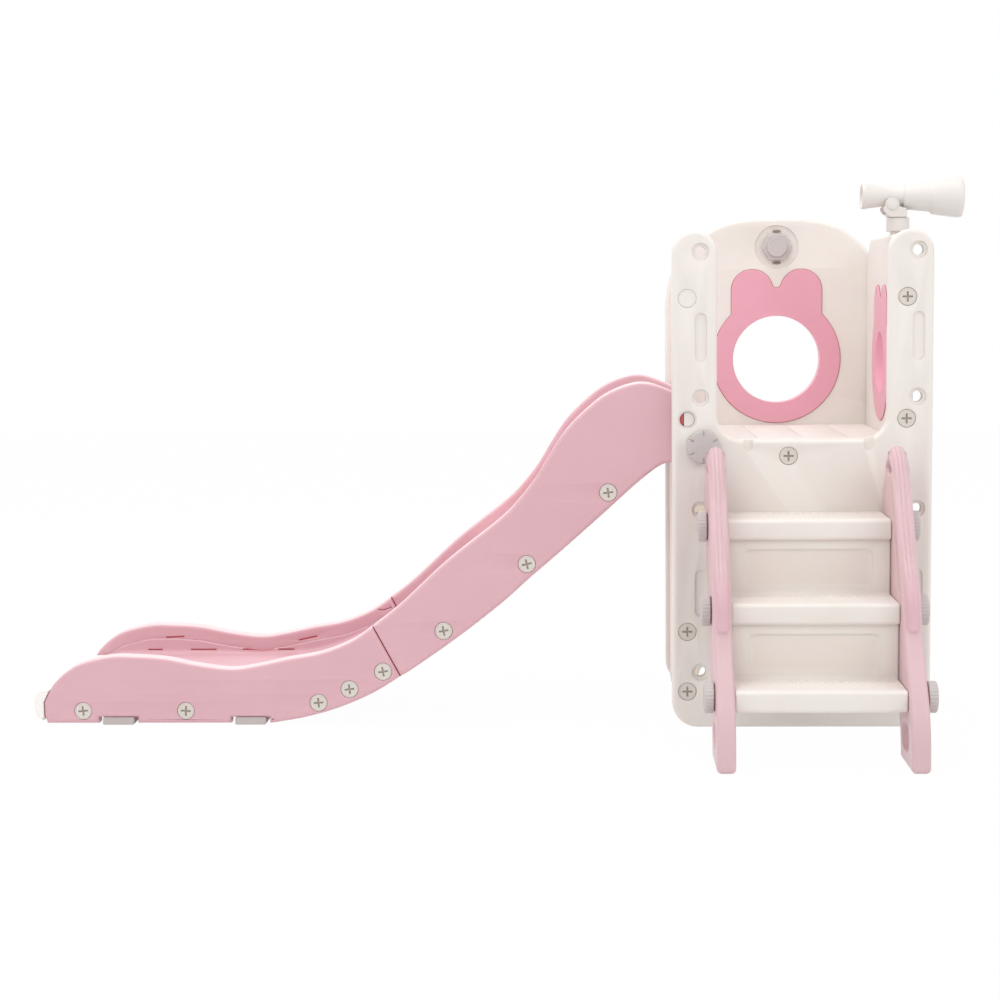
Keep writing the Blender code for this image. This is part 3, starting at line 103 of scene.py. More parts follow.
class Sockets:
    """Wraps a node's output, so that shader maths reads as an expression."""

    def __init__(self, tree, link):
        self.tree = tree
        self.link = link

    def feed(self, value, socket):
        if isinstance(value, Sockets):
            self.tree.links.new(value.link, socket)
        else:
            socket.default_value = value

    def node(self, kind, settings=(), **values):
        """A new node. Its inputs are given by name, or by number as i0, i6 and so on."""
        made = self.tree.nodes.new(kind)
        for name, value in dict(settings).items():
            setattr(made, name, value)
        for name, value in values.items():
            numbered = name[0] == "i" and name[1:].isdigit()
            self.feed(value, made.inputs[int(name[1:]) if numbered else name.replace("_", " ")])
        return made

    def out(self, made, name=0):
        return Sockets(self.tree, made.outputs[name])

    def maths(self, operation, *values):
        made = self.tree.nodes.new("ShaderNodeMath")
        made.operation = operation
        for socket, value in zip(made.inputs, values):
            self.feed(value, socket)
        return self.out(made)

    def __add__(self, other):
        return self.maths("ADD", self, other)

    __radd__ = __add__

    def __sub__(self, other):
        return self.maths("SUBTRACT", self, other)

    def __rsub__(self, other):
        return self.maths("SUBTRACT", other, self)

    def __mul__(self, other):
        return self.maths("MULTIPLY", self, other)

    __rmul__ = __mul__

    def __truediv__(self, other):
        return self.maths("DIVIDE", self, other)

    def clamped(self):
        return self.maths("MINIMUM", self.maths("MAXIMUM", self, 0.0), 1.0)


def begin(name):
    """A new material; returns it, its shader and a starting point for expressions."""
    material = bpy.data.materials.new(name)
    material.use_nodes = True
    tree = material.node_tree
    shader = tree.nodes["Principled BSDF"]
    return material, shader, Sockets(tree, None)


def paint(red, green, blue):
    """A colour of the photograph, given in 0 to 255, as the renderer's linear values."""
    values = [c / 255 for c in (red, green, blue)]
    return (*[c / 12.92 if c <= 0.04045 else ((c + 0.055) / 1.055) ** 2.4 for c in values], 1.0)


def seen_directly(s):
    """1 for what the camera sees, straight or by way of a gloss or glass, 0 for the light shed on things."""
    rays = s.node("ShaderNodeLightPath")
    kinds = ("Camera", "Glossy", "Transmission")
    straight, glossy, through = (s.out(rays, f"Is {kind} Ray") for kind in kinds)
    return (straight + glossy + through).clamped()


def studio_floor():
    mesh = bpy.data.meshes.new("studio_floor")
    bm = bmesh.new()
    for x, y in ((-1, -1), (1, -1), (1, 1), (-1, 1)):
        bm.verts.new((x * FLOOR_REACH, y * FLOOR_REACH, -FLOOR_DROP))
    bm.faces.new(bm.verts)
    bm.to_mesh(mesh)
    bm.free()
    floor = placed("studio_floor", mesh)
    material, shader, s = begin("studio_white")
    shader.inputs["Base Color"].default_value = (0.86, 0.86, 0.86, 1)
    shader.inputs["Roughness"].default_value = 0.9
    shader.inputs["Specular IOR Level"].default_value = 0.1
    glow = s.node("ShaderNodeEmission", Color=(1, 1, 1, 1), Strength=1.0)
    mix = s.node("ShaderNodeMixShader", i0=seen_directly(s) * (FLOOR_WHITE - FLOOR_GLOW) + FLOOR_GLOW)
    links = material.node_tree.links
    links.new(shader.outputs[0], mix.inputs[1])
    links.new(glow.outputs[0], mix.inputs[2])
    links.new(mix.outputs[0], material.node_tree.nodes["Material Output"].inputs["Surface"])
    mesh.materials.append(material)


def studio_world():
    world = bpy.data.worlds.new("studio_world")
    bpy.context.scene.world = world
    world.use_nodes = True
    s = Sockets(world.node_tree, None)
    ground = world.node_tree.nodes["Background"]
    ground.inputs["Color"].default_value = (1, 1, 1, 1)
    s.feed(seen_directly(s) * (1.0 - WORLD_LIGHT) + WORLD_LIGHT, ground.inputs["Strength"])


def lamp(name, place, aim, size, power, colour):
    light = bpy.data.lights.new(name, "AREA")
    light.shape = "RECTANGLE"
    light.size, light.size_y = size
    light.energy = power
    light.color = colour
    holder = placed(name, light)
    holder.location = Vector(place)
    holder.rotation_euler = (Vector(aim) - Vector(place)).to_track_quat("-Z", "Y").to_euler()


WORLD_LIGHT = 0.80
FLOOR_WHITE = 0.98
FLOOR_GLOW = 0.35
FLOOR_REACH = 9.0
FLOOR_DROP = 0.0006
studio_floor()
studio_world()
lamp("key_lamp", (-1.8, -3.4, 3.6), (0.1, 0.0, 0.45), (3.0, 2.4), 34.0, (1.0, 0.985, 0.97))
lamp("right_lamp", (3.2, -2.2, 2.2), (0.3, 0.0, 0.5), (2.0, 2.4), 22.0, (1.0, 0.98, 0.965))
lamp("top_lamp", (0.0, -0.1, 3.3), (0.0, 0.2, 0.5), (2.2, 1.6), 22.0, (1.0, 0.99, 0.98))
lamp("left_lamp", (-2.6, -0.5, 1.3), (0.35, 0.2, 0.6), (1.6, 1.6), 3.0, (1.0, 0.965, 0.92))
lamp("under_slide_lamp", (-0.05, 0.18, 0.22), (0.36, 0.18, 0.30), (0.25, 0.25), 0.5, (1.0, 0.93, 0.84))
lamp("slide_lamp", (-0.4, 0.0, 2.4), (-0.35, 0.2, 0.1), (1.6, 0.9), 5.0, (1.0, 0.985, 0.97))
lamp("back_lamp", (-0.6, 3.0, 2.8), (0.0, 0.1, 0.5), (3.0, 1.8), 22.0, (1.0, 0.99, 0.98))
lamp("low_room_lamp", tower + Vector((0.0, 0.25, 0.44)), tower + Vector((-0.05, 0.25, 0.0)), (0.2, 0.2), 0.8,
     (1.0, 0.95, 0.88))

# Front panel: one blow-moulded ivory polyethylene board, two posts joined by a sill, 30 mm thick with soft
# rims. Its counterbored screw places, the spare ones too, and its shallow slots are moulded in.
IVORY = paint(236, 231, 226)
IVORY_SHADE = paint(226, 219, 212)
PANEL_THICK = 0.030
PANEL_RIM = 0.0070
FACE_MARGIN = 0.0012
POST_TOP = 0.9635
HALF_FRONT = 0.250
HALF_OPENING = 0.1632
SILL = 0.562
SILL_CURVE = 0.048
FOOT_CURVE = 0.050
LEFT_SCREWS_X = -0.2205
RIGHT_SCREWS_X = 0.1995
LOW_SCREWS = (0.071, 0.189)
HIGH_SCREWS = (0.602, 0.835)
SILL_SCREW = (-0.026, SILL - 0.031)
HOOK_PLACE = (-0.190, 0.0, SILL - 0.012)
SPARE_HOLES = [(x, z) for x in (-0.195, 0.220) for z in (0.109, 0.4275, 0.644, 0.924)]
SPARE_BORE = 0.0105
SPARE_SEAT = 0.0165
OPEN_BORE = 0.0145
HOOK_BORE = 0.0076
SCREW_BORE = 0.007
THROUGH = 0.034
SEAT_RADIUS = 0.0178
SEAT_DEPTH = 0.0055
SLOT_HALF = 0.01125
CUTTER_PROUD = 0.005
FIT = 0.0003
SOFTEN_OVER = math.radians(40)
SHARP_OVER = math.radians(38)
CUT_SOFTNESS = 0.0009
EDGE_SOFTNESS = 0.0012
PEBBLE_HEIGHT = 0.0004

FLAT = {
    "XZ": lambda a, b, depth: Vector((a, depth, b)),
    "YZ": lambda a, b, depth: Vector((depth, a, b)),
    "XY": lambda a, b, depth: Vector((a, b, depth)),
}


def arc(centre_a, centre_b, radius, start, end, steps):
    turns = [math.radians(start + (end - start) * i / steps) for i in range(steps + 1)]
    return [(centre_a + radius * math.cos(t), centre_b + radius * math.sin(t)) for t in turns]


def ring_of(centre_a, centre_b, radius, sides=64):
    return arc(centre_a, centre_b, radius, 0, 360, sides)[:-1]


def other_side(points, centre=0.0):
    return [(2 * centre - a, b) for a, b in reversed(points)]


def slot_shape(a, low, high, half, steps):
    """An upright slot with round ends."""
    return arc(a, high - half, half, 0, 180, steps) + arc(a, low + half, half, 180, 360, steps)


def flowing(points, steps=6):
    """A smooth open curve through the given points."""
    ends = [points[0], *points, points[-1]]
    made = []
    for p0, p1, p2, p3 in zip(ends, ends[1:], ends[2:], ends[3:]):
        for i in range(steps):
            t = i / steps
            made.append(tuple(
                0.5 * (2 * b + (c - a) * t + (2 * a - 5 * b + 4 * c - d) * t * t
                       + (3 * b - a - 3 * c + d) * t ** 3)
                for a, b, c, d in zip(p0, p1, p2, p3)
            ))
    return made + [points[-1]]


def cleaned(loop, clockwise=False):
    kept = []
    for point in loop:
        if not kept or (Vector(point) - kept[-1]).length > 0.0001:
            kept.append(Vector(point))
    if (kept[0] - kept[-1]).length < 0.0001:
        kept.pop()
    area = sum(p.x * q.y - q.x * p.y for p, q in zip(kept, kept[1:] + kept[:1]))
    if (area < 0) != clockwise:
        kept.reverse()
    return kept


def drawn_in(loop, distance):
    """The loop moved inward, by one distance or by one for each point."""
    moved = []
    distances = distance if isinstance(distance, list) else [distance] * len(loop)
    for i, (here, far) in enumerate(zip(loop, distances)):
        first = here - loop[i - 1]
        second = loop[(i + 1) % len(loop)] - here
        left = Vector((-first.y, first.x)).normalized()
        next_left = Vector((-second.y, second.x)).normalized()
        moved.append(here + (left + next_left) * (far / max(1 + left.dot(next_left), 0.5)))
    return moved


def strip(bm, first, second):
    for i in range(len(first)):
        j = (i + 1) % len(first)
        bm.faces.new((first[i], first[j], second[j], second[i]))


def skin(bm, rows):
    for first, second in zip(rows, rows[1:]):
        strip(bm, first, second)


def closing(bm, rows):
    verts = [vert for one in rows for vert in one]
    for a, b, c in tessellate_polygon([[vert.co for vert in one] for one in rows]):
        bm.faces.new((verts[a], verts[b], verts[c]))


def shell(bm, levels):
    """Walls along levels that hold several loops each, with flat ends."""
    for first, second in zip(levels, levels[1:]):
        for one, other in zip(first, second):
            strip(bm, one, other)
    closing(bm, levels[0])
    closing(bm, levels[-1])


def plugged(bm, rows):
    """Walls along single loops, with one face at each end."""
    skin(bm, rows)
    bm.faces.new(rows[0])
    bm.faces.new(rows[-1])
    return bm


def rounding(rim, steps):
    """A quarter turn from a face to a side, as pairs of how deep it lies and how far in."""
    quarter = [math.pi / 2 * k / steps for k in range(steps + 1)]
    return [(rim * (1 - math.cos(t)), rim * (1 - math.sin(t))) for t in quarter]


def board(loops, start, end, plane, rim=0.0, steps=4, bm=None):
    """A moulded board: the first outline with the others as holes, its rims rounded, its faces kept flat."""
    bm = bmesh.new() if bm is None else bm
    place = FLAT[plane]
    shapes = [cleaned(loop, clockwise=i > 0) for i, loop in enumerate(loops)]
    inward = math.copysign(1, end - start)
    levels = [(0.0, rim + FACE_MARGIN)] + rounding(rim, steps) if rim else [(0.0, 0.0)]
    levels = [(start + inward * depth, back) for depth, back in levels]
    levels += [(start + end - depth, back) for depth, back in reversed(levels)]
    shell(bm, [
        [
            [bm.verts.new(place(p.x, p.y, depth)) for p in (drawn_in(shape, back) if back else shape)]
            for shape in shapes
        ]
        for depth, back in levels
    ])
    return bm


def spun(profile, base, direction, sides=48, bm=None):
    """A turned solid of (radius, height) pairs along the direction."""
    bm = bmesh.new() if bm is None else bm
    lean = Vector((0, 0, 1)).rotation_difference(Vector(direction))
    return plugged(bm, [
        [bm.verts.new(Vector(base) + lean @ Vector((a, b, height))) for a, b in ring_of(0, 0, radius, sides)]
        for radius, height in profile
    ])


def moulded(name, bm, material, stands_for, body="play_set", carve=None, soften=0.0,
            trim=None):
    """Makes the piece in the tower's place, carves it, softens its cut edges and gives it its CAD body."""
    def mesh_of(work):
        bmesh.ops.recalc_face_normals(work, faces=work.faces)
        mesh = bpy.data.meshes.new(name)
        work.to_mesh(mesh)
        work.free()
        return mesh

    piece = placed(name, mesh_of(bm))
    if carve is not None:
        knife = placed(name + "_knife", mesh_of(carve))
        cut = piece.modifiers.new("cut", "BOOLEAN")
        cut.object = knife
        cut.solver = "EXACT"
    if soften:
        edge = piece.modifiers.new("soft_edges", "BEVEL")
        edge.width = soften
        edge.segments = 2
        edge.limit_method = "ANGLE"
        edge.angle_limit = SOFTEN_OVER
        edge.use_clamp_overlap = True
    if piece.modifiers:
        bpy.context.view_layer.update()
        settled = bpy.data.meshes.new_from_object(piece.evaluated_get(bpy.context.evaluated_depsgraph_get()))
        piece.modifiers.clear()
        piece.data = settled
    if carve is not None:
        bpy.data.objects.remove(knife)
    piece.data.shade_smooth()
    piece.data.set_sharp_from_angle(angle=SHARP_OVER)
    piece.data.materials.clear()
    piece.data.materials.append(material)
    if trim is not None:
        piece.data.materials.append(trim[0])
        for face in piece.data.polygons:
            face.material_index = int(trim[1](face.center))
    piece.location = tower
    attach(piece, body)
    if stands_for:
        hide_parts(*stands_for)


def moulded_plastic(name, colour, shade, roughness, grain=0.10, zone=None):
    """Moulded polyethylene, faintly clouded and with a fine pebbled skin; a zone may have another colour."""
    material, shader, s = begin(name)
    place = s.out(s.node("ShaderNodeTexCoord"), "Object")
    clouds, pebbles, streaks = (
        s.out(s.node("ShaderNodeTexNoise", Vector=place, Scale=scale, Detail=detail, Roughness=rough))
        for scale, detail, rough in ((6.0, 3.0, 0.5), (900.0, 2.0, 0.6), (42.0, 4.0, 0.55))
    )
    amount = ((clouds - 0.5) * 1.2 + 0.35 + (streaks - 0.5) * 0.25).clamped()
    tint = s.node("ShaderNodeMix", {"data_type": "RGBA"}, i0=amount, i6=colour, i7=shade)
    if zone is not None:
        other, mask_of = zone
        tint = s.node("ShaderNodeMix", {"data_type": "RGBA"}, i0=mask_of(s, place), i6=s.out(tint, 2),
                      i7=other)
    s.feed(s.out(tint, 2), shader.inputs["Base Color"])
    s.feed((streaks - 0.5) * 0.10 + (pebbles - 0.5) * 0.06 + roughness, shader.inputs["Roughness"])
    soft_edge = s.out(s.node("ShaderNodeBevel", {"samples": 3}, Radius=EDGE_SOFTNESS))
    bump = s.node("ShaderNodeBump", Height=pebbles, Strength=grain, Distance=PEBBLE_HEIGHT, Normal=soft_edge)
    s.feed(s.out(bump), shader.inputs["Normal"])
    shader.inputs["Specular IOR Level"].default_value = 0.42
    shader.inputs["Subsurface Weight"].default_value = 0.06
    shader.inputs["Subsurface Scale"].default_value = 0.01
    return material


def drilled(bm, mouth, bore, depth, seat=0.0, seat_depth=0.0, out=(0, -1, 0), sides=40):
    """A cutter for a bore with an optional counterbored seat, from its mouth on a face that looks outward."""
    profile = [(bore, -depth)]
    if seat:
        profile += [(bore, -seat_depth), (seat, -seat_depth)]
    return spun(profile + [(seat or bore, CUTTER_PROUD)], mouth, out, sides, bm)


ivory = moulded_plastic("ivory_plastic", IVORY, IVORY_SHADE, 0.44)
half_post = (HALF_FRONT - HALF_OPENING) / 2
right_side = arc(HALF_FRONT - FOOT_CURVE, FOOT_CURVE, FOOT_CURVE, -90, 0, 14)
right_side += arc(HALF_FRONT - half_post, POST_TOP - half_post, half_post, 0, 180, 36)
right_side += arc(HALF_OPENING - SILL_CURVE, SILL + SILL_CURVE, SILL_CURVE, 0, -90, 14)
cuts = bmesh.new()
for x, z in SPARE_HOLES:
    drilled(cuts, (x, 0, z), SPARE_BORE, THROUGH, SPARE_SEAT, SEAT_DEPTH)
screw_places = [(LEFT_SCREWS_X, z) for z in (*LOW_SCREWS, HIGH_SCREWS[1])]
screw_places += [(RIGHT_SCREWS_X, z) for z in HIGH_SCREWS] + [SILL_SCREW]
for x, z in screw_places:
    drilled(cuts, (x, 0, z), SCREW_BORE, THROUGH, SEAT_RADIUS, SEAT_DEPTH)
drilled(cuts, (LEFT_SCREWS_X, 0, HIGH_SCREWS[0]), OPEN_BORE, THROUGH, SEAT_RADIUS, SEAT_DEPTH)
drilled(cuts, HOOK_PLACE, HOOK_BORE, THROUGH)
for x in (-0.1943, 0.2215):
    for low, high in ((0.218, 0.311), (0.7145, 0.807)):
        board([slot_shape(x, low, high, SLOT_HALF, 12)], -0.004, 0.004, "XZ", bm=cuts)
for x in (-0.103, 0.128):
    notch = [(x - 0.009, SILL + 0.02), (x + 0.009, SILL + 0.02)] + arc(x, SILL - 0.012, 0.009, 0, -180, 12)
    board([notch], -0.004, 0.008, "XZ", bm=cuts)
front = board([right_side + other_side(right_side)], 0.0, PANEL_THICK, "XZ", PANEL_RIM)
moulded("front_board", front, ivory, ["front_panel"], carve=cuts, soften=CUT_SOFTNESS)

# Back panel: the same ivory board with an arched top, a round window for the trim ring and a low arch between
# its feet. It is screwed to the side walls. A shallow round seat holds the bolt for a play accessory.
BACK_FACE = 0.470
BACK_OUTER = 0.500
BACK_CENTRE = -0.0085
BACK_RIGHT = 0.228
BACK_TOP = 1.0005
BACK_SHOULDER = [
    (0.0, 0.1805), (0.012, 0.1175), (0.050, 0.0625), (0.093, 0.0260), (0.137, 0.0080), (0.187, 0.0),
]
WINDOW_Z = 0.702
WINDOW_BORE = 0.0924
COLLAR = 0.007
SOCKET_Z = 0.940
BACK_RIGHT_SCREWS = (0.189, 0.602)
NUT_BORE = 0.0084


def between_feet(centre, width, height, radius=0.030, base=0.0):
    half = [(centre + width / 2, base)] + arc(centre + width / 2 - radius, height - radius, radius, 0, 90, 12)
    return half + other_side(half, centre)


arched = arc(BACK_RIGHT - FOOT_CURVE, FOOT_CURVE, FOOT_CURVE, -90, 0, 14)
arched += flowing([(BACK_RIGHT - inward, BACK_TOP - down) for inward, down in BACK_SHOULDER], 8)
feet = list(reversed(between_feet(BACK_CENTRE, 0.330, 0.045)))
window = ring_of(BACK_CENTRE, WINDOW_Z, WINDOW_BORE + COLLAR + FIT, 96)
arched += other_side(arched, BACK_CENTRE) + feet
back = board([arched, window], BACK_FACE, BACK_OUTER, "XZ", PANEL_RIM)
cuts = drilled(bmesh.new(), (BACK_CENTRE, BACK_FACE, SOCKET_Z), NUT_BORE, THROUGH, 0.046, 0.004, sides=72)
for x, heights in ((LEFT_SCREWS_X, LOW_SCREWS), (RIGHT_SCREWS_X, BACK_RIGHT_SCREWS)):
    for z in heights:
        drilled(cuts, (x, BACK_OUTER, z), SCREW_BORE, THROUGH, SEAT_RADIUS, SEAT_DEPTH, (0, 1, 0))
moulded("back_board", back, ivory, ["back_panel"], carve=cuts, soften=CUT_SOFTNESS)

# Side walls: the right one is tall, with a round window and a socket in its top edge for the telescope mast.
# The left one is low and ends under the slide. Both are ivory boards between the front and back panels.
WALL_NEAR = 0.0303
WALL_FAR = 0.4697
WALL_THICK = 0.033
WALL_MIDDLE = 0.250
RIGHT_WALL = 0.183
LEFT_WALL = -0.237
RIGHT_WALL_TOP = 0.956
LEFT_WALL_TOP = 0.5167
SIDE_WINDOW = (0.248, 0.701)
SIDE_BORE = 0.062
WALL_LIFT = 0.018
MAST_Y = 0.140


def box_shape(a_low, a_high, b_low, b_high):
    return [(a_low, b_low), (a_high, b_low), (a_high, b_high), (a_low, b_high)]


def side_wall(name, node, start, top, curve, holes=(), cuts=None):
    outline = [(WALL_FAR, WALL_LIFT)] + arc(WALL_FAR - curve, top - curve, curve, 0, 90, 14)
    outline += arc(WALL_NEAR + curve, top - curve, curve, 90, 180, 14) + [(WALL_NEAR, WALL_LIFT)]
    outline += list(reversed(between_feet(WALL_MIDDLE, 0.260, 0.040, 0.020, WALL_LIFT)))
    wall = board([outline, *holes], start, start + WALL_THICK, "YZ", 0.006)
    moulded(name, wall, ivory, [node], carve=cuts, soften=CUT_SOFTNESS)


cuts = spun([(0.0119, 0.9157), (0.0119, 0.961)], (RIGHT_SCREWS_X, MAST_Y, 0), (0, 0, 1))
for z in HIGH_SCREWS:
    tab = box_shape(0.4625, 0.475, z - 0.007, z + 0.007)
    board([tab], RIGHT_WALL - 0.004, RIGHT_WALL + 0.006, "YZ", bm=cuts)
side_hole = ring_of(*SIDE_WINDOW, SIDE_BORE + COLLAR + FIT, 80)
side_wall("right_wall", "right_panel", RIGHT_WALL, RIGHT_WALL_TOP, 0.075, [side_hole], cuts)
side_wall("left_wall", "left_panel", LEFT_WALL, LEFT_WALL_TOP, 0.010)

# Platform: a thick ivory board between the four walls, with long shallow drain grooves across its top.
DECK_LOW = 0.517
DECK_SIDES = (-0.2037, 0.1827)


def soft_box(a_low, a_high, b_low, b_high, radius, steps, first=0):
    """A box outline with rounded corners, begun at its lower right corner or at a later one."""
    left, right, low, high = a_low + radius, a_high - radius, b_low + radius, b_high - radius
    corners = [(right, low, 270), (right, high, 0), (left, high, 90), (left, low, 180)]
    return [point for a, b, start in corners[first:] + corners[:first]
            for point in arc(a, b, radius, start, start + 90, steps)]


deck = board([soft_box(*DECK_SIDES, DECK_LOW, SILL, 0.005, 5, first=3)], WALL_NEAR, WALL_FAR, "XZ", 0.004)
cuts = bmesh.new()
for x in (-0.1720, -0.0825, 0.0070, 0.0965):
    board([slot_shape(x, 0.065, 0.435, 0.002, 8)], SILL - 0.0015, SILL + 0.004, "XY", bm=cuts)
moulded("deck", deck, ivory, ["platform"], carve=cuts, soften=0.0006)

# Window rings: injection-moulded rose trims with two round ears. Each clips into its wall's window with a
# collar, and its thin lip lies tight against the wall. The lip is painted dark red as shade, which makes a
# dark line round it.
ROSE = paint(233, 169, 186)
ROSE_SHADE = paint(228, 160, 178)
SHADE_RED = paint(190, 88, 92)
RING_THICK = 0.0025
RING_RIM = 0.0011
LIP = 0.0010
BACK_EARS = (0.1355, 0.044, 0.052, 0.191)
SIDE_EARS = (0.117, 0.042, 0.046, 0.1565)
EAR_NOTCH = 0.010


def eared(centre, middle, radius, ear, spread, rise):
    """A circle with two round ears side by side on its top."""
    ear_height = rise - ear
    meet = math.degrees(math.acos((spread + ear) / radius))
    saddle = math.sqrt((ear + EAR_NOTCH) ** 2 - spread ** 2)
    lean = math.degrees(math.atan2(saddle, spread))
    half = arc(0, 0, radius, -90, meet, 56)
    half += arc(spread, ear_height, ear, 0, 180 - lean, 30)
    half += arc(0, ear_height + saddle, EAR_NOTCH, -lean, -90, 8)
    return [(centre + a, middle + b) for a, b in half + other_side(half)]


def window_trim(name, node, plane, outline, centre, middle, bore, face, end):
    """An eared plate with its rims rounded, a lip at its back and a collar through the wall."""
    bm = bmesh.new()
    place = FLAT[plane]
    plate = cleaned(outline)
    hole, sleeve = (
        cleaned(ring_of(centre, middle, radius, 96), clockwise=True) for radius in (bore, bore + COLLAR)
    )

    def level(loop, depth, back=0.0):
        return [bm.verts.new(place(p.x, p.y, face + depth)) for p in (drawn_in(loop, back) if back else loop)]

    rim = [(0.0, RING_RIM + 0.002)] + rounding(RING_RIM, 5)
    outer = [level(plate, depth, back) for depth, back in rim]
    outer += [level(plate, RING_THICK - ahead, back)
              for ahead, back in ((0.0006, 0.0), (0.0005, -LIP), (0.0, -LIP))]
    inner = [level(hole, depth, back) for depth, back in rim] + [level(hole, end - face)]
    around = [level(sleeve, RING_THICK), level(sleeve, end - face)]
    for rows in (outer, inner, around):
        skin(bm, rows)
    closing(bm, [outer[0], inner[0]])
    closing(bm, [outer[-1], around[0]])
    strip(bm, around[-1], inner[-1])
    depth_axis = 1 if plane == "XZ" else 0
    middle_point = place(centre, middle, 0.0)

    # The lip at the back of the plate, which takes the painted shade red.
    def on_lip(point):
        off = point - middle_point
        off[depth_axis] = 0.0
        return point[depth_axis] > face + RING_THICK - 0.0009 and off.length > bore + 2 * COLLAR

    moulded(name, bm, rose, [node], trim=(shade_red, on_lip))


rose = moulded_plastic("rose_plastic", ROSE, ROSE_SHADE, 0.34, grain=0.05)
# Painted shade: the dark red of thin gaps, grooves and hollows where shade falls.
shade_red = moulded_plastic("seam_shadow", SHADE_RED, SHADE_RED, 0.7)
back_outline = eared(BACK_CENTRE, WINDOW_Z, *BACK_EARS)
window_trim("back_window_trim", "back_window_ring", "XZ", back_outline, BACK_CENTRE, WINDOW_Z, WINDOW_BORE,
            BACK_FACE - FIT - RING_THICK, BACK_OUTER)
side_outline = eared(*SIDE_WINDOW, *SIDE_EARS)
window_trim("side_window_trim", "side_window_ring", "YZ", side_outline, *SIDE_WINDOW, SIDE_BORE,
            RIGHT_WALL - FIT - RING_THICK, RIGHT_WALL + WALL_THICK)

# Accessory bolt: a grey moulded hex nut in the back panel's round seat, with a flat round bolt head in it and
# a small locking tab above and below, coloured dark as painted shade.
NUT_GREY = paint(201, 194, 192)
NUT_SHADE = paint(190, 182, 181)
NUT_RADIUS = 0.032
NUT_FACE = 0.4617
NUT_SEAT = 0.4737
nut_grey = moulded_plastic("nut_grey_plastic", NUT_GREY, NUT_SHADE, 0.38, grain=0.04)
tab_shadow = moulded_plastic("tab_shadow", paint(150, 136, 122), paint(136, 120, 106), 0.7)
hexagon = ring_of(BACK_CENTRE, SOCKET_Z, NUT_RADIUS, 6)
hexagon = [
    (a * (1 - t) + c * t, b * (1 - t) + d * t)
    for (a, b), (c, d) in zip(hexagon, hexagon[1:] + hexagon[:1]) for t in (0.05, 0.95)
]
nut = board([hexagon, ring_of(BACK_CENTRE, SOCKET_Z, NUT_BORE, 32)], NUT_FACE, NUT_SEAT, "XZ", 0.0018, 3)
moulded("socket_hex_nut", nut, nut_grey, ["socket_nut"])
head = spun([
    (0.008, -0.0383), (0.008, 0.0), (0.0212, 0.0), (0.0212, 0.0034), (0.0207, 0.0044), (0.0196, 0.0049),
    (0.0178, 0.005), (0.0172, 0.0046), (0.0168, 0.0046),
], (BACK_CENTRE, 0.4614, SOCKET_Z), (0, -1, 0), 64)
moulded("socket_round_bolt", head, nut_grey, ["socket_bolt"])
tabs = bmesh.new()
for z in (SOCKET_Z + 0.0335, SOCKET_Z - 0.0335):
    lens = [(BACK_CENTRE + 0.0085 * a, z + 0.0028 * b) for a, b in ring_of(0, 0, 1, 24)]
    board([lens], NUT_SEAT - 0.0030, NUT_SEAT, "XZ", 0.0006, 2, bm=tabs)
moulded("socket_tabs", tabs, tab_shadow, [])

# Ladder rails: two hollow pale pink boards. A fluted handrail stands proud along the front of each and ends
# in a lip below the middle step; behind it runs a crease. Each has a hand grip hole and an oval in its foot.
PALE_PINK = paint(217, 186, 190)
PALE_PINK_SHADE = paint(209, 176, 181)
TONGUE_SHADE_PINK = paint(214, 175, 184)
RAIL_INNER = 0.1535
RAIL_THICK = 0.0345
RAIL_ROUND = 0.009
HANDRAIL_HALF = 0.0132
HANDRAIL_ROUND = 0.0115
HANDRAIL_PROUD = 0.0022
HANDRAIL_END = 0.234
HANDRAIL_BELLY = [(0.234, 0.003), (0.262, 0.0065), (0.333, 0.0085), (0.362, 0.004), (0.42, 0.0), (0.56, 0.0)]
FLUTE_DEPTH = 0.0022
FLUTE_WIDTH = 0.0016
FLUTE_OFF = 0.0042
THREAD_BORE = 0.0074
RAIL_FRONT = [
    (-0.078, 0.5555), (-0.112, 0.5390), (-0.140, 0.507), (-0.170, 0.460), (-0.203, 0.410), (-0.240, 0.352),
    (-0.281, 0.297), (-0.297, 0.250), (-0.321, 0.200), (-0.361, 0.152), (-0.392, 0.108), (-0.408, 0.062),
    (-0.412, 0.012),
]
RAIL_BACK = [(-0.266, 0.018), (-0.245, 0.074), (-0.150, 0.208), (-0.062, 0.335), (-0.018, 0.402)]
RAIL_CROWN = [(-0.0003, 0.470), (-0.022, 0.500), (-0.048, 0.5390), (-0.078, 0.5555)]
STEP_TOPS = (0.1405, 0.281, 0.423)
STEP_FRONTS = (-0.366, -0.258, -0.142)
KNOB_PLACES = [(front + 0.028, top - 0.0155) for front, top in zip(STEP_FRONTS, STEP_TOPS)]

rail_front = flowing(RAIL_FRONT, 12)
rail_plain = arc(-0.402, 0.010, 0.010, 180, 270, 6) + arc(-0.276, 0.010, 0.010, 270, 340, 5)
rail_plain += flowing(RAIL_BACK, 5) + [(-0.0003, 0.432), (-0.0003, 0.468)]
plain_points = {(round(a, 5), round(b, 5)) for a, b in rail_plain}
grip_hole = arc(-0.0835, 0.5215, 0.006, 30, 120, 6) + arc(-0.1085, 0.5085, 0.0045, 125, 270, 8)
grip_hole += arc(-0.0600, 0.5100, 0.006, 270, 400, 8)
foot_hole = arc(-0.312, 0.052, 0.022, -90, 90, 20) + arc(-0.344, 0.052, 0.022, 90, 270, 20)


def height_on(curve, x):
    points = sorted(curve)
    for (x0, z0), (x1, z1) in zip(points, points[1:]):
        if x <= x1:
            return z0 + (z1 - z0) * max(x - x0, 0.0) / (x1 - x0)
    return points[-1][1]


def rail_rounding(at):
    """How far back the rounded edges lie at one place across the rail's thickness."""
    edge = max(RAIL_ROUND - min(at, RAIL_THICK - at), 0.0)
    return RAIL_ROUND - math.sqrt(RAIL_ROUND ** 2 - edge ** 2)


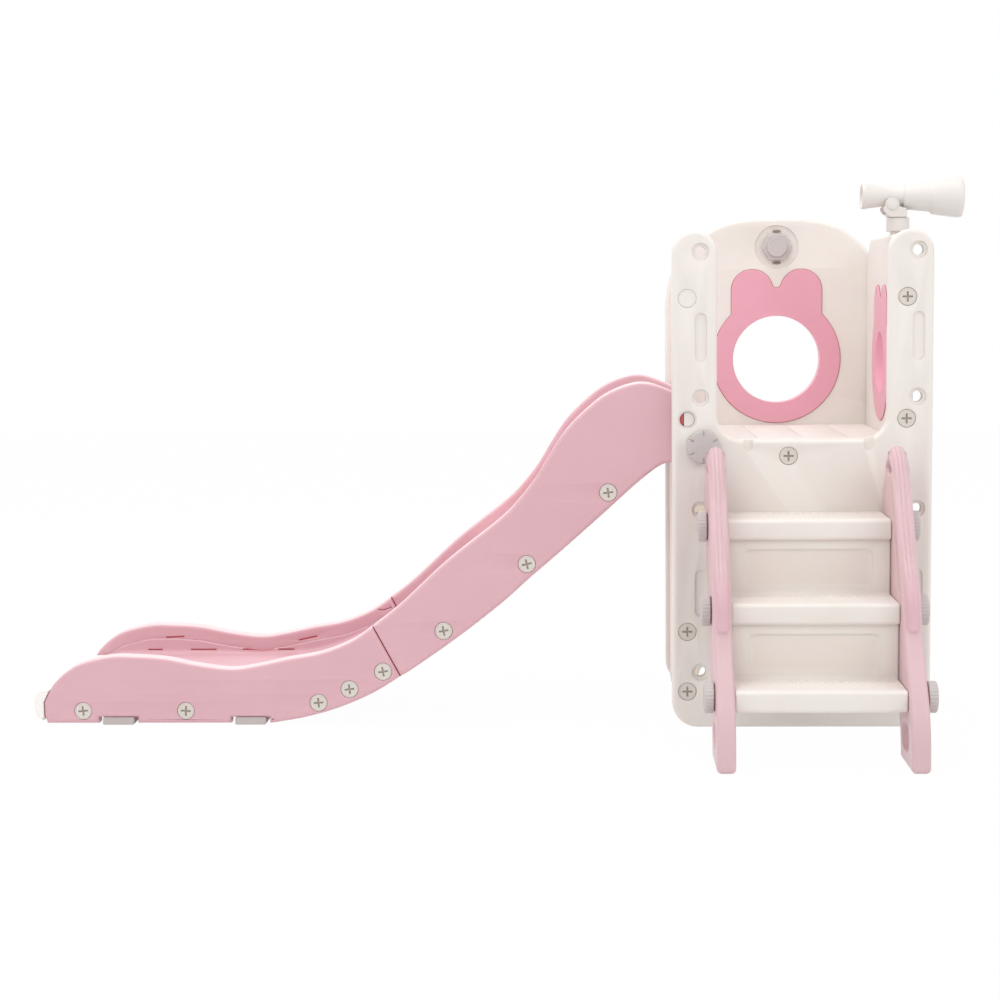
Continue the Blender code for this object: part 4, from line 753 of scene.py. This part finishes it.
def across_rail(at, point):
    """How far back the rail's surface lies at one place across its thickness, at one point of its outline."""
    rounded = rail_rounding(at)
    if (round(point.x, 5), round(point.y, 5)) in plain_points or point.y < 0.180:
        return rounded
    set_back = HANDRAIL_PROUD * min((point.y - 0.180) / 0.060, 1.0)
    set_back += 0.0062 * min(max((point.y - 0.455) / 0.06, 0.0), 1.0)
    off = abs(at - RAIL_THICK / 2)
    if point.y < HANDRAIL_END + 45 * off ** 2:
        return rounded + set_back
    over = max(off - HANDRAIL_HALF + HANDRAIL_ROUND, 0.0)
    flute = FLUTE_DEPTH * math.exp(-((off - FLUTE_OFF) / FLUTE_WIDTH) ** 2)
    flute *= min(max((point.y - 0.300) / 0.03, 0.0), 1.0)
    belly = height_on(HANDRAIL_BELLY, point.y)
    if over < HANDRAIL_ROUND:
        handrail = HANDRAIL_ROUND - math.sqrt(HANDRAIL_ROUND ** 2 - over ** 2) + flute - belly
        return min(handrail, rounded + set_back)
    return rounded + set_back


def ladder_rail(name, node, side):
    shapes = [cleaned(rail_front + rail_plain + flowing(RAIL_CROWN, 6)[1:-1])]
    shapes += [cleaned(loop, clockwise=True) for loop in (grip_hole, foot_hole)]
    stations = [0.0, 0.0005, 0.0016, 0.0032, 0.0046, 0.0054, 0.0068, 0.0090,
                0.0112, 0.0121, 0.0130, 0.0139, 0.0150]
    stations += [RAIL_THICK / 2] + [RAIL_THICK - at for at in reversed(stations)]
    bm = bmesh.new()
    rows = []
    for at in stations:
        row = []
        for i, shape in enumerate(shapes):
            back = [rail_rounding(at) * 0.6 if i else across_rail(at, p) for p in shape]
            depth = side * (RAIL_INNER + at)
            row.append([bm.verts.new((depth, p.x, p.y)) for p in drawn_in(shape, back)])
        rows.append(row)
    shell(bm, rows)
    carve = bmesh.new()
    for y, z in KNOB_PLACES:
        drilled(carve, (side * (RAIL_INNER + RAIL_THICK), y, z), THREAD_BORE, 0.04, out=(side, 0, 0))
    front_run = [Vector(p) for p in rail_front if 0.262 < p[1] < 0.500]
    near_edge, far_edge = [], []
    for here, ahead in zip(front_run, front_run[1:]):
        behind = Vector((here.y - ahead.y, ahead.x - here.x)).normalized()
        near_edge.append(here + behind * 0.0255)
        far_edge.append(here + behind * 0.0285)
    crease = [tuple(p) for p in near_edge] + [tuple(p) for p in reversed(far_edge)]
    inner = side * RAIL_INNER
    board([crease], inner - side * 0.003, inner + side * 0.0013, "YZ", bm=carve)
    moulded(name, bm, pale_pink, [node], carve=carve, soften=0.0007)


def handrail_tongue_shade(s, place):
    """Painted shade on the lower end of the handrail, just above its lip, where it turns away from the light.
    """
    parts = s.node("ShaderNodeSeparateXYZ", Vector=place)
    off = s.maths("ABSOLUTE", s.maths("ABSOLUTE", s.out(parts, 0)) - (RAIL_INNER + RAIL_THICK / 2))
    height = s.out(parts, 2)
    fading = ((0.345 - height) / 0.04).clamped() * ((height - off * off * 45 - 0.2330) / 0.0014).clamped()
    return fading * ((0.0142 - off) / 0.0022).clamped() * ((-0.212 - s.out(parts, 1)) / 0.006).clamped()


pale_pink = moulded_plastic("pale_pink_plastic", PALE_PINK, PALE_PINK_SHADE, 0.36,
                            zone=(TONGUE_SHADE_PINK, handrail_tongue_shade))
ladder_rail("ladder_board_left", "ladder_left_rail", -1)
ladder_rail("ladder_board_right", "ladder_right_rail", 1)

# Steps: three ivory mouldings, each a thick tread with a soft nose and a riser behind it that has a shallow
# rounded field. Small studs near the back of each tread keep feet from slipping.
STEP_HALF = 0.1532
STEP_THICK = 0.040
NOSE_ROUND = 0.0085
RISER_BEHIND = 0.012
RISER_THICK = 0.014
FIELD_MARGIN = 0.0342
FIELD_CORNER = 0.012
STUD_PITCH = 0.0145
FIELD_SHADE = paint(229, 221, 214)


def riser_fields(s, place):
    """The sunk fields of the two risers, which lie in the shade of the treads."""
    parts = s.node("ShaderNodeSeparateXYZ", Vector=place)
    height = s.out(parts, 2)
    inside = ((STEP_HALF - FIELD_MARGIN - s.maths("ABSOLUTE", s.out(parts, 0))) / 0.012).clamped()
    shaded = 0.0
    for next_front, top, next_top in zip(STEP_FRONTS[1:], STEP_TOPS, STEP_TOPS[1:]):
        band = ((height - top - 0.010) / 0.012).clamped()
        band *= ((next_top - STEP_THICK - 0.017 - height) / 0.012).clamped()
        shaded = band * ((next_front + RISER_BEHIND + 0.010 - s.out(parts, 1)) / 0.002).clamped() + shaded
    return shaded * inside


tread_ivory = moulded_plastic("tread_ivory_plastic", IVORY, IVORY_SHADE, 0.44,
                              zone=(FIELD_SHADE, riser_fields))
for i, (front_y, top) in enumerate(zip(STEP_FRONTS, STEP_TOPS)):
    low = top - STEP_THICK
    outline = arc(front_y + NOSE_ROUND, low + NOSE_ROUND, NOSE_ROUND, -90, -180, 8)
    outline += arc(front_y + NOSE_ROUND, top - NOSE_ROUND, NOSE_ROUND, 180, 90, 8)
    carve = bmesh.new()
    for side in (-1, 1):
        y, z = KNOB_PLACES[i]
        drilled(carve, (side * STEP_HALF, y, z), THREAD_BORE, 0.0306, out=(side, 0, 0))
    if i < 2:
        riser = STEP_FRONTS[i + 1] + RISER_BEHIND
        ceiling = STEP_TOPS[i + 1] - STEP_THICK - FIT
        foot = arc(riser - 0.006, top + 0.006, 0.006, 270, 360, 6)
        outline += foot + [(riser, ceiling), (riser + RISER_THICK, ceiling), (riser + RISER_THICK, low)]
        wide = STEP_HALF - FIELD_MARGIN
        field = soft_box(-wide, wide, top + 0.010, ceiling - 0.017, FIELD_CORNER, 8)
        board([field], riser - 0.004, riser + 0.004, "XZ", bm=carve)
        back_y = riser - 0.014
    else:
        outline += [(-0.0003, top), (-0.0003, low)]
        back_y = -0.018
    tread = board([outline], -STEP_HALF, STEP_HALF, "YZ", 0.0045)
    moulded(f"tread_{i + 1}", tread, tread_ivory, [f"step_{i + 1}"], carve=carve, soften=0.0016)
    studs = bmesh.new()
    for row in range(3):
        for k in range(19):
            x = (k - 9 + 0.5 * (row % 2)) * STUD_PITCH
            spun([(0.0022, -0.0002), (0.0022, 0.0003), (0.0016, 0.0009), (0.0006, 0.0011)],
                 (x, back_y - 0.011 * row, top), (0, 0, 1), 12, studs)
    moulded(f"tread_studs_{i + 1}", studs, ivory, [])

# Ladder knobs and hook knob: grey hand screws that clamp the rails to the steps, ribbed along their rims, and
# a larger one by the platform with six notches. Where a ladder knob meets its rail, its washer is painted
# dark as shade.
KNOB_GREY = paint(201, 194, 192)
KNOB_SHADE = paint(188, 180, 179)
KNOB_RIBS = 26
KNOB_ROWS = [
    (0.007, -0.0645, 0.0), (0.007, 0.0004, 0.0), (0.0245, 0.0004, 0.0), (0.0245, 0.0020, 0.0),
    (0.0262, 0.0020, 0.0), (0.0285, 0.0032, 0.0011), (0.0285, 0.0155, 0.0011), (0.0279, 0.0172, 0.0009),
    (0.0262, 0.0185, 0.0004), (0.0240, 0.0190, 0.0), (0.0212, 0.0190, 0.0), (0.0204, 0.0182, 0.0),
    (0.0196, 0.0182, 0.0),
]
WASHER_THICK = 0.0021
HOOK_ROWS = [
    (0.007, -0.0595, 0.0), (0.007, 0.0004, 0.0), (0.026, 0.0004, 0.0), (0.026, 0.0023, 0.0),
    (0.0305, 0.0023, 0.0), (0.032, 0.0035, 0.0), (0.032, 0.0155, 0.0), (0.0313, 0.0175, 0.0),
    (0.0295, 0.0187, 0.0), (0.0275, 0.0190, 0.0),
]
knob_grey = moulded_plastic("knob_grey_plastic", KNOB_GREY, KNOB_SHADE, 0.46, grain=0.06)
# Painted shade: the dark colour of the knobs' washers and of the foot grips.
gap_dark = moulded_plastic("gap_shadow", paint(168, 132, 128), paint(156, 120, 116), 0.8)


def hand_screw(base, out, rows, ribs, around=6):
    """A turned knob whose rim is ribbed: rows of radius, height and how deep the ribs are there."""
    bm = bmesh.new()
    lean = Vector((0, 0, 1)).rotation_difference(Vector(out))
    count = ribs * around
    made = []
    for radius, height, deep in rows:
        row = []
        for k in range(count):
            t = 2 * math.pi * k / count
            r = radius - deep * (0.5 - 0.5 * math.cos(ribs * t)) ** 2
            row.append(bm.verts.new(Vector(base) + lean @ Vector((r * math.cos(t), r * math.sin(t), height))))
        made.append(row)
    return plugged(bm, made)


for side_name, side in (("left", -1), ("right", 1)):
    for i, (y, z) in enumerate(KNOB_PLACES):
        outer = side * (RAIL_INNER + RAIL_THICK)
        washer_face = outer + side * WASHER_THICK
        knob = hand_screw((outer, y, z), (side, 0, 0), KNOB_ROWS, KNOB_RIBS)
        moulded(f"knob_{side_name}_{i + 1}", knob, knob_grey, [f"ladder_knob_{side_name}_{i + 1}"],
                body=f"ladder_knob_{side_name}_{i + 1}",
                trim=(gap_dark, lambda point: (point.x - washer_face) * side < 0))

hook = hand_screw(HOOK_PLACE, (0, -1, 0), HOOK_ROWS, 12, 8)
notches = bmesh.new()
centre = Vector((HOOK_PLACE[0], HOOK_PLACE[2]))
for k in range(6):
    t = math.radians(90 + 60 * k)
    out_way = Vector((math.cos(t), math.sin(t)))
    across = Vector((-out_way.y, out_way.x))
    ends = [(0.0215, -0.0011), (0.0360, -0.0022), (0.0360, 0.0022), (0.0215, 0.0011)]
    board([[tuple(centre + out_way * a + across * b) for a, b in ends]], -0.0162, -0.0220, "XZ", bm=notches)
moulded("hook_hand_screw", hook, knob_grey, ["hook_knob"], body="hook_knob",
        carve=notches, soften=0.0006)

# Foot grips: a small ribbed grey rubber strip is let into the rear of each ladder rail's foot, so that it
# stays put on a smooth floor. It takes the dark gap colour, which is painted shade.
for side_name, side in (("left", -1), ("right", 1)):
    grip = bmesh.new()
    for k in range(9):
        y = -0.3065 + 0.0040 * k
        rib = box_shape(y, y + 0.0026, 0.0012, 0.0085)
        board([rib], side * (RAIL_INNER + 0.0030), side * (RAIL_INNER + 0.0315), "YZ", 0.0003, 1, bm=grip)
    moulded(f"foot_grip_{side_name}", grip, gap_dark, [])

# Slide side rails: four hollow pink boards, a lower and an upper one on each side, with soft rims and a wavy
# top. They butt at a slanted seam, and large-headed screws clamp them to the tray between them.
PINK = paint(220, 177, 185)
PINK_SHADE = paint(214, 169, 178)
SLIDE_SIDES = [("near", WALL_NEAR, 0.0663, (0, -1, 0)), ("far", WALL_FAR, 0.4337, (0, 1, 0))]
SLIDE_ROUND = 0.0072
TOP_LOWER = [
    (-1.498, 0.045), (-1.481, 0.077), (-1.456, 0.103), (-1.421, 0.124), (-1.362, 0.138), (-1.312, 0.138),
    (-1.254, 0.134), (-1.188, 0.121), (-1.122, 0.113), (-1.072, 0.119), (-1.006, 0.133), (-0.940, 0.145),
    (-0.881, 0.168), (-0.839, 0.196),
]
TOP_UPPER = [
    (-0.839, 0.196), (-0.781, 0.242), (-0.689, 0.327), (-0.586, 0.408), (-0.548, 0.446), (-0.516, 0.487),
    (-0.490, 0.530), (-0.459, 0.577), (-0.421, 0.617), (-0.378, 0.651), (-0.333, 0.670), (-0.296, 0.673),
    (-0.250, 0.657), (-0.206, 0.636),
]
BOTTOM_LOWER = [(-0.785, 0.096), (-0.839, 0.063), (-0.906, 0.034), (-0.972, 0.015), (-1.040, 0.003)]
BOTTOM_UPPER = [
    (-0.252, 0.517), (-0.274, 0.510), (-0.317, 0.477), (-0.379, 0.421), (-0.460, 0.349), (-0.523, 0.295),
    (-0.586, 0.239), (-0.674, 0.171), (-0.757, 0.113), (-0.785, 0.096),
]
PADS = [(-1.380, -1.318), (-1.115, -1.054)]
PAD_ROOM = 0.008
PAD_ROOF = 0.015
GROUND_GAP = 0.003
SCREWS_LOWER = [(-1.419, 0.028), (-1.213, 0.028), (-0.948, 0.044), (-0.886, 0.071), (-0.819, 0.106)]
SCREWS_UPPER = [(-0.698, 0.187), (-0.533, 0.319), (-0.373, 0.459)]
LAP_LINE = [(-0.8665, 0.1700), (-0.8620, 0.1687), (-0.8560, 0.1686), (-0.8480, 0.1705), (-0.8375, 0.1750)]
WALL_SLOTS = [((-1.330, 0.1100), (-1.290, 0.1120)), ((-1.040, 0.1035), (-1.000, 0.1120))]
SEAM = [(-0.8385, 0.196), (-0.7845, 0.096)]
SEAM_SLOPE = 0.54
GROOVE_DEEP = 0.0012
RIM_HIGHLIGHT_PINK = paint(246, 222, 224)


def painted_rim_highlight(s, place):
    """Painted highlight on the rounded upper rims of the boards, paler where they face up."""
    normal = s.out(s.node("ShaderNodeNewGeometry"), "Normal")
    facing = s.out(s.node("ShaderNodeSeparateXYZ", Vector=normal), 2)
    return ((facing - 0.45) / 0.40).clamped() * 0.75


pink = moulded_plastic("pink_plastic", PINK, PINK_SHADE, 0.40)
# The side rails' pink, with the painted highlight on their upward rims.
board_pink_highlit = moulded_plastic("board_pink_plastic", PINK, PINK_SHADE, 0.40, zone=(RIM_HIGHLIGHT_PINK, painted_rim_highlight))


def dark_part(point):
    """Painted shade in dark red on the rails: the lap line and slots in the far wall, and the butting ends.
    """
    if abs(point.x - SEAM[0][0] - (SEAM[0][1] - point.z) * SEAM_SLOPE) < 0.0012:
        return True
    if not 0.43375 < point.y < 0.43535:
        return False
    if LAP_LINE[0][0] < point.x < LAP_LINE[-1][0]:
        return abs(point.z - height_on(LAP_LINE, point.x)) < 0.0016
    return any(a[0] - 0.001 < point.x < b[0] + 0.001 and abs(point.z - height_on([a, b], point.x)) < 0.003
               for a, b in WALL_SLOTS)


def thin_groove(line, half, y, deep, bm):
    """A cutter for a narrow groove along a line on the far wall."""
    rows = []
    for k, here in enumerate(line):
        along = Vector(line[min(k + 1, len(line) - 1)]) - Vector(line[max(k - 1, 0)])
        across = Vector((-along.y, along.x)).normalized() * half
        rows.append((Vector(here) - across, Vector(here) + across))
    loop = [tuple(row[0]) for row in rows] + [tuple(row[1]) for row in reversed(rows)]
    board([loop], y - 0.003, y + deep, "XZ", bm=bm)


underside = []
for low_x, high_x in reversed(PADS):
    underside += [(high_x + PAD_ROOM, GROUND_GAP), (high_x + PAD_ROOM, PAD_ROOF)]
    underside += [(low_x - PAD_ROOM, PAD_ROOF), (low_x - PAD_ROOM, GROUND_GAP)]
lower_board = flowing(TOP_LOWER, 7)[:-2] + TOP_LOWER[-1:] + flowing(BOTTOM_LOWER, 6) + underside
lower_board += [(-1.492, GROUND_GAP), (-1.497, 0.020)]
upper_board = SEAM[:1] + flowing(TOP_UPPER, 7)[1:] + [(-0.206, 0.517)]
upper_board += flowing(BOTTOM_UPPER, 6)[:-3] + SEAM[1:]
for side_name, outer_y, inner_y, out in SLIDE_SIDES:
    for part, outline, screws in (("lower", lower_board, SCREWS_LOWER), ("upper", upper_board, SCREWS_UPPER)):
        carve = bmesh.new()
        for x, z in screws:
            drilled(carve, (x, outer_y, z), 0.0066, 0.040, SEAT_RADIUS, SEAT_DEPTH, out, 32)
        if part == "lower" and side_name == "far":
            thin_groove(LAP_LINE, 0.0008, inner_y, GROOVE_DEEP, carve)
            for slot_line in WALL_SLOTS:
                thin_groove(slot_line, 0.0017, inner_y, GROOVE_DEEP, carve)
        rail = board([outline], outer_y, inner_y, "XZ", SLIDE_ROUND, 5)
        moulded(f"slide_{part}_board_{side_name}", rail, board_pink_highlit, [f"slide_{part}_rail_{side_name}"],
                carve=carve, soften=0.0006, trim=(shade_red, dark_part))

# Slide trays: two pink channels between the side rails, the bed with a wall up each side. They meet at a
# cross seam near the bend. Short slots in the walls are vents from the mould, their floors painted dark red
# as shade.
BED = [
    (-1.498, 0.039), (-1.486, 0.057), (-1.465, 0.069), (-1.430, 0.0745), (-1.300, 0.076), (-1.060, 0.076),
    (-1.000, 0.081), (-0.940, 0.099), (-0.880, 0.128), (-0.815, 0.168), (-0.757, 0.205), (-0.674, 0.263),
    (-0.586, 0.332), (-0.523, 0.388), (-0.460, 0.443), (-0.379, 0.512), (-0.330, 0.545), (-0.285, 0.560),
    (-0.240, 0.562), (-0.206, 0.562),
]
TRAY_WALLS = (0.0666, 0.0746, 0.4254, 0.4334)
TRAY_STATIONS = 56
BED_CORNER = 0.010
WALL_EDGE = 0.0015
VENTS = [(-1.368, -1.337), (-1.275, -1.219), (-1.162, -1.125), (-1.084, -1.049)]
VENT_LOW = 0.0832
VENT_HIGH = 0.0862


def tray_slice(x):
    """The tray cut across at x: walls with rounded tops, and rounded corners where they meet the bed."""
    bed = height_on(flowing(BED, 5), x)
    top = max(height_on(TOP_LOWER + TOP_UPPER, x) - 0.030, bed + 0.003)
    under_ends = [(-1.498, 0.003), (-0.206, 0.517)]
    low = max(height_on(BOTTOM_LOWER + BOTTOM_UPPER + under_ends, x) + 0.006, 0.017)
    corner = min(BED_CORNER, (top - bed) * 0.6)
    left_out, left_in, right_in, right_out = TRAY_WALLS
    rim = [(left_out, top - WALL_EDGE), (left_out + WALL_EDGE, top)]
    rim += [(left_in - WALL_EDGE, top), (left_in, top - WALL_EDGE)]
    half = [(left_out, low), *rim, *arc(left_in + corner, bed + corner, corner, 180, 270, 5)]
    mirror = [(right_out + left_out - y, z) for y, z in reversed(half)]
    under = bed - 0.008
    return half + mirror + [(right_in, low), (right_in, under), (left_in, under), (left_in, low)]


def in_vent(point):
    """The floor of a vent, in either wall, painted dark red as shade."""
    return 0.08315 < point.z < 0.08625 and (0.42545 < point.y < 0.42800 or 0.07200 < point.y < 0.07455)


def tray(name, node, start, end, cuts):
    bm = bmesh.new()
    rows = []
    for i in range(TRAY_STATIONS + 1):
        x = start + (end - start) * i / TRAY_STATIONS
        rows.append([[bm.verts.new((x, y, z)) for y, z in tray_slice(x)]])
    shell(bm, rows)
    moulded(name, bm, pink, [node], carve=cuts, trim=(shade_red, in_vent))


vents = bmesh.new()
for x0, x1 in VENTS:
    for wall_face, into in ((TRAY_WALLS[2], 1), (TRAY_WALLS[1], -1)):
        board([box_shape(x0, x1, VENT_LOW, VENT_HIGH)], wall_face - into * 0.004,
              wall_face + into * GROOVE_DEEP, "XZ", bm=vents)
tray("slide_tray_lower", "slide_lower_tray", -1.498, -0.81225, vents)
tray("slide_tray_upper", "slide_upper_tray", -0.81175, -0.206, None)

# End roll and floor pads: a soft white bumper across the slide's foot, and two ribbed grey rubber bars under
# the run-out that stand a little proud of it, so that it doesn't creep.
soft_white = moulded_plastic("soft_white_plastic", paint(246, 243, 240), paint(242, 239, 236), 0.36,
                             grain=0.04)
pad_rubber = moulded_plastic("pad_rubber", paint(198, 190, 186), paint(186, 176, 172), 0.75, grain=0.25)
roll = flowing([
    (-1.4983, 0.0095), (-1.5045, 0.0115), (-1.5112, 0.0175), (-1.5158, 0.0275), (-1.5175, 0.0400),
    (-1.5158, 0.0525), (-1.5112, 0.0625), (-1.5050, 0.0680), (-1.4960, 0.0703), (-1.4868, 0.0690),
], 3) + [(-1.4986, 0.0450)]
bumper = board([roll], WALL_NEAR, WALL_FAR, "XZ", 0.0022)
lap_under = [(-1.4979, 0.0394), (-1.4860, 0.0574), (-1.4650, 0.0694), (-1.4523, 0.0716)]
lap_over = [(-1.4523, 0.0722), (-1.4540, 0.0734), (-1.4650, 0.0733), (-1.4860, 0.0722), (-1.4979, 0.0705)]
board([lap_under + lap_over], 0.0749, 0.4251, "XZ", bm=bumper)
moulded("foot_bumper", bumper, soft_white, ["slide_end_roll"])
for i, (low_x, high_x) in enumerate(PADS):
    block = board([soft_box(low_x, high_x, 0.0, 0.0147, 0.002, 4)], WALL_NEAR, WALL_FAR, "XZ", 0.0012, 3)
    ribs = bmesh.new()
    for k in range(9):
        x = low_x + (high_x - low_x) * (k + 1) / 10
        board([box_shape(x - 0.0009, x + 0.0009, -0.002, 0.0016)], 0.034, 0.466, "XZ", bm=ribs)
    moulded(f"grip_bar_{i + 1}", block, pad_rubber, [f"slide_floor_pad_{i + 1}"],
            carve=ribs)

# Screws: moulded from warm grey nylon with a broad flat head and a deep cross, so that they turn with a large
# plastic driver. Each head lies flush in a seat, and a plain ivory cap closes the one spare place.
SCREW_GREY = paint(221, 214, 206)
SCREW_SHADE = paint(207, 199, 191)
SCREW_HEAD = 0.0170
CROSS_HALF = 0.0096
CROSS_ARM = 0.0017
PANEL_SCREW = 0.052
SLIDE_SCREW = 0.046
screw_grey = moulded_plastic("screw_grey_plastic", SCREW_GREY, SCREW_SHADE, 0.48, grain=0.18)
cross_dark = moulded_plastic("cross_shadow", paint(176, 166, 157), paint(164, 154, 145), 0.7)


def big_screw(name, node, place, out, length, spin=0.0, cross=True, material=None, over=0.0):
    """A screw with its head's face at a place; out is the way it faces, over widens the head of a cap."""
    bm = bmesh.new()
    turn = Vector((0, 0, 1)).rotation_difference(Vector(out)) @ Matrix.Rotation(spin, 3, "Z").to_quaternion()
    start = Vector(place)

    def level(points, height):
        return [bm.verts.new(start + turn @ Vector((a, b, height))) for a, b in points]

    profile = [(0.006, -length), (0.006, -0.0052), (SCREW_HEAD + over, -0.0052), (SCREW_HEAD + over, -0.0012),
               (0.0166 + over, -0.0004), (0.0160, 0.0), (0.0148, 0.0), (0.0144, -0.0004)]
    rows = [level(ring_of(0, 0, radius, 40), height) for radius, height in profile]
    skin(bm, rows)
    bm.faces.new(rows[0])
    if cross:
        arm, plus = [(CROSS_HALF, -CROSS_ARM), (CROSS_HALF, CROSS_ARM), (CROSS_ARM, CROSS_ARM)], []
        for _ in range(4):
            plus += arm
            arm = [(-b, a) for a, b in arm]
        mouth = level(plus, -0.0004)
        floor = level([(a * 0.94, b * 0.94) for a, b in plus], -0.0024)
        closing(bm, [rows[-1], list(reversed(mouth))])
        strip(bm, mouth, floor)
        bm.faces.new(floor)
    else:
        bm.faces.new(rows[-1])
    outward = Vector(out)

    # The walls and floor of the cross take the dark cross colour, which is painted shade.
    def in_cross(point):
        off = point - start
        return cross and -0.0030 < off.dot(outward) < -0.0011 and off.length < 0.0112

    moulded(name, bm, material or screw_grey, [node], trim=(cross_dark, in_cross))


def panel_screw(panel, side_name, number, z):
    x = LEFT_SCREWS_X if side_name == "left" else RIGHT_SCREWS_X
    place, out = ((x, BACK_OUTER, z), (0, 1, 0)) if panel == "back" else ((x, 0, z), (0, -1, 0))
    name, node = f"{panel}_{side_name}_screw_{number}", f"{panel}_screw_{side_name}_{number}"
    big_screw(name, node, place, out, PANEL_SCREW)


for i, z in enumerate(LOW_SCREWS):
    panel_screw("front", "left", i + 1, z)
    panel_screw("back", "left", i + 1, z)
for panel, heights in (("front", HIGH_SCREWS), ("back", BACK_RIGHT_SCREWS)):
    for i, z in enumerate(heights):
        panel_screw(panel, "right", i + 1, z)
big_screw("sill_screw", "platform_screw", (SILL_SCREW[0], 0, SILL_SCREW[1]), (0, -1, 0), PANEL_SCREW)
big_screw("spare_place_cap", "front_hole_cap", (LEFT_SCREWS_X, 0, HIGH_SCREWS[1]), (0, -1, 0), 0.0248,
          cross=False, material=ivory, over=0.0006)

# Screw boss: where the lower post hole has no screw, the end of the panel's inner rib shows in it as a pale
# half disc with a dark red crescent beside it, painted shade in the gap. It is moulded with the panel.
boss = board([arc(LEFT_SCREWS_X, HIGH_SCREWS[0], 0.0140, -116, 116, 26)], 0.0075, 0.0296, "XZ", 0.0008, 2)
board([arc(LEFT_SCREWS_X, HIGH_SCREWS[0], 0.0140, 120, 240, 14)], 0.0080, 0.0296, "XZ", bm=boss)
moulded("post_hole_rib", boss, ivory, [], trim=(shade_red, lambda point: point.x < LEFT_SCREWS_X - 0.0066))

# Slide screws: eight along each side, of the same warm grey nylon and kind as in the panels. Each is driven
# home with its cross turned a little the way its rail slopes.
slide_top = TOP_LOWER + TOP_UPPER
for side_name, y, _, out in SLIDE_SIDES:
    for i, (x, z) in enumerate(SCREWS_LOWER + SCREWS_UPPER):
        rise = height_on(slide_top, x + 0.02) - height_on(slide_top, x - 0.02)
        node = f"slide_screw_{side_name}_{i + 1}"
        big_screw(f"{node}_detail", node, (x, y, z), out, SLIDE_SCREW, 0.25 * math.atan2(rise, 0.04))

# Telescope: near-white mouldings. A mast with a broad collar stands in the right wall's top edge, a forked
# yoke swivels on it, and a pin through the fork carries the barrel with its eyepiece, grip and flared hood.
NEAR_WHITE = paint(226, 221, 217)
NEAR_WHITE_SHADE = paint(218, 212, 208)
COLLAR_HIGH = 0.989
PIVOT = Vector((RIGHT_SCREWS_X - 0.014, MAST_Y, 1.0135))
BARREL_REAR = -0.0584
BARREL_FRONT = 0.138
scope_white = moulded_plastic("scope_white_plastic", NEAR_WHITE, NEAR_WHITE_SHADE, 0.36, grain=0.05)
mast = spun([
    (0.0115, 0.916), (0.0115, 0.9563), (0.0155, 0.9563), (0.0155, 0.9612), (0.0160, 0.9618), (0.0215, 0.9620),
    (0.0223, 0.9628), (0.0225, 0.9640), (0.0225, 0.9872), (0.0221, 0.9884), (0.0212, 0.9889),
    (0.0198, COLLAR_HIGH), (0.0066, COLLAR_HIGH), (0.0066, 0.9667),
], (RIGHT_SCREWS_X, MAST_Y, 0), (0, 0, 1), 64)
moulded("telescope_mast_detail", mast, scope_white, ["telescope_mast"])

yoke_base = COLLAR_HIGH + FIT
fork = [(RIGHT_SCREWS_X + 0.0145, yoke_base), (RIGHT_SCREWS_X + 0.0145, PIVOT.z - 0.0075)]
fork += arc(RIGHT_SCREWS_X + 0.0125, PIVOT.z - 0.0085, 0.002, 10, 80, 3)
fork += arc(PIVOT.x, PIVOT.z, 0.014, -18, 190, 40)
fork += [
    (PIVOT.x - back, PIVOT.z - down)
    for back, down in (
        (0.0180, 0.0055), (0.0177, 0.0085), (0.0170, 0.0110), (0.0145, 0.0150), (0.0115, 0.0180),
    )
]
fork.append((PIVOT.x - 0.0040, yoke_base))
yoke = board([fork], MAST_Y - 0.025, MAST_Y + 0.025, "XZ", 0.0016)
carve = board([box_shape(0.10, 0.30, yoke_base + 0.0067, 1.060)], MAST_Y - 0.020, MAST_Y + 0.020, "XZ")
moulded("telescope_fork", yoke, scope_white, ["telescope_yoke"], body="telescope_yoke",
        carve=carve, soften=0.0006)
spindle = spun([(0.0050, -0.0215), (0.0060, -0.0205), (0.0060, 0.0020)], (RIGHT_SCREWS_X, MAST_Y, yoke_base),
               (0, 0, 1), 32)
moulded("telescope_spindle", spindle, scope_white, [], body="telescope_yoke")
pin_end = [(0.0040, 0.0253), (0.0105, 0.0253), (0.0105, 0.0262), (0.0101, 0.0269), (0.0094, 0.0273)]
pin = spun([(radius, -along) for radius, along in reversed(pin_end)] + pin_end, PIVOT, (0, 1, 0), 48)
moulded("telescope_pin_detail", pin, scope_white, ["telescope_pin"], body="telescope_yoke")

from_rear = [
    (0.0195, 0.0100), (0.0203, 0.0010), (0.0212, 0.0), (0.0245, 0.0), (0.0252, 0.0004), (0.0255, 0.0015),
    (0.0255, 0.0080), (0.0251, 0.0092), (0.0246, 0.0100), (0.0204, 0.0400), (0.0199, 0.0420),
    (0.0195, 0.0430), (0.0195, 0.0795), (0.0200, 0.0803), (0.0240, 0.0822), (0.0245, 0.0832),
]
from_front = [
    (0.0290, 0.0655), (0.0293, 0.0638), (0.0298, 0.0628), (0.0338, 0.0576), (0.0343, 0.0562),
    (0.0397, 0.0110), (0.0398, 0.0095), (0.0394, 0.0045), (0.0386, 0.0018), (0.0374, 0.0003), (0.0362, 0.0),
    (0.0352, 0.0004), (0.0348, 0.0014), (0.0320, 0.0240),
]
barrel_profile = [(radius, BARREL_REAR + along) for radius, along in from_rear]
barrel_profile += [(radius, BARREL_FRONT - along) for radius, along in from_front]
tilt = Matrix.Rotation(math.radians(1.2), 3, "Y")
barrel = spun(barrel_profile, PIVOT + tilt @ Vector((0, 0, 0.0168)), tilt @ Vector((1, 0, 0)), 72)
spun([(0.0104, -0.0196), (0.0115, -0.0186), (0.0115, 0.0186), (0.0104, 0.0196)], PIVOT, (0, 1, 0), 40, barrel)
moulded("telescope_tube", barrel, scope_white, ["telescope_barrel"], body="telescope_barrel")
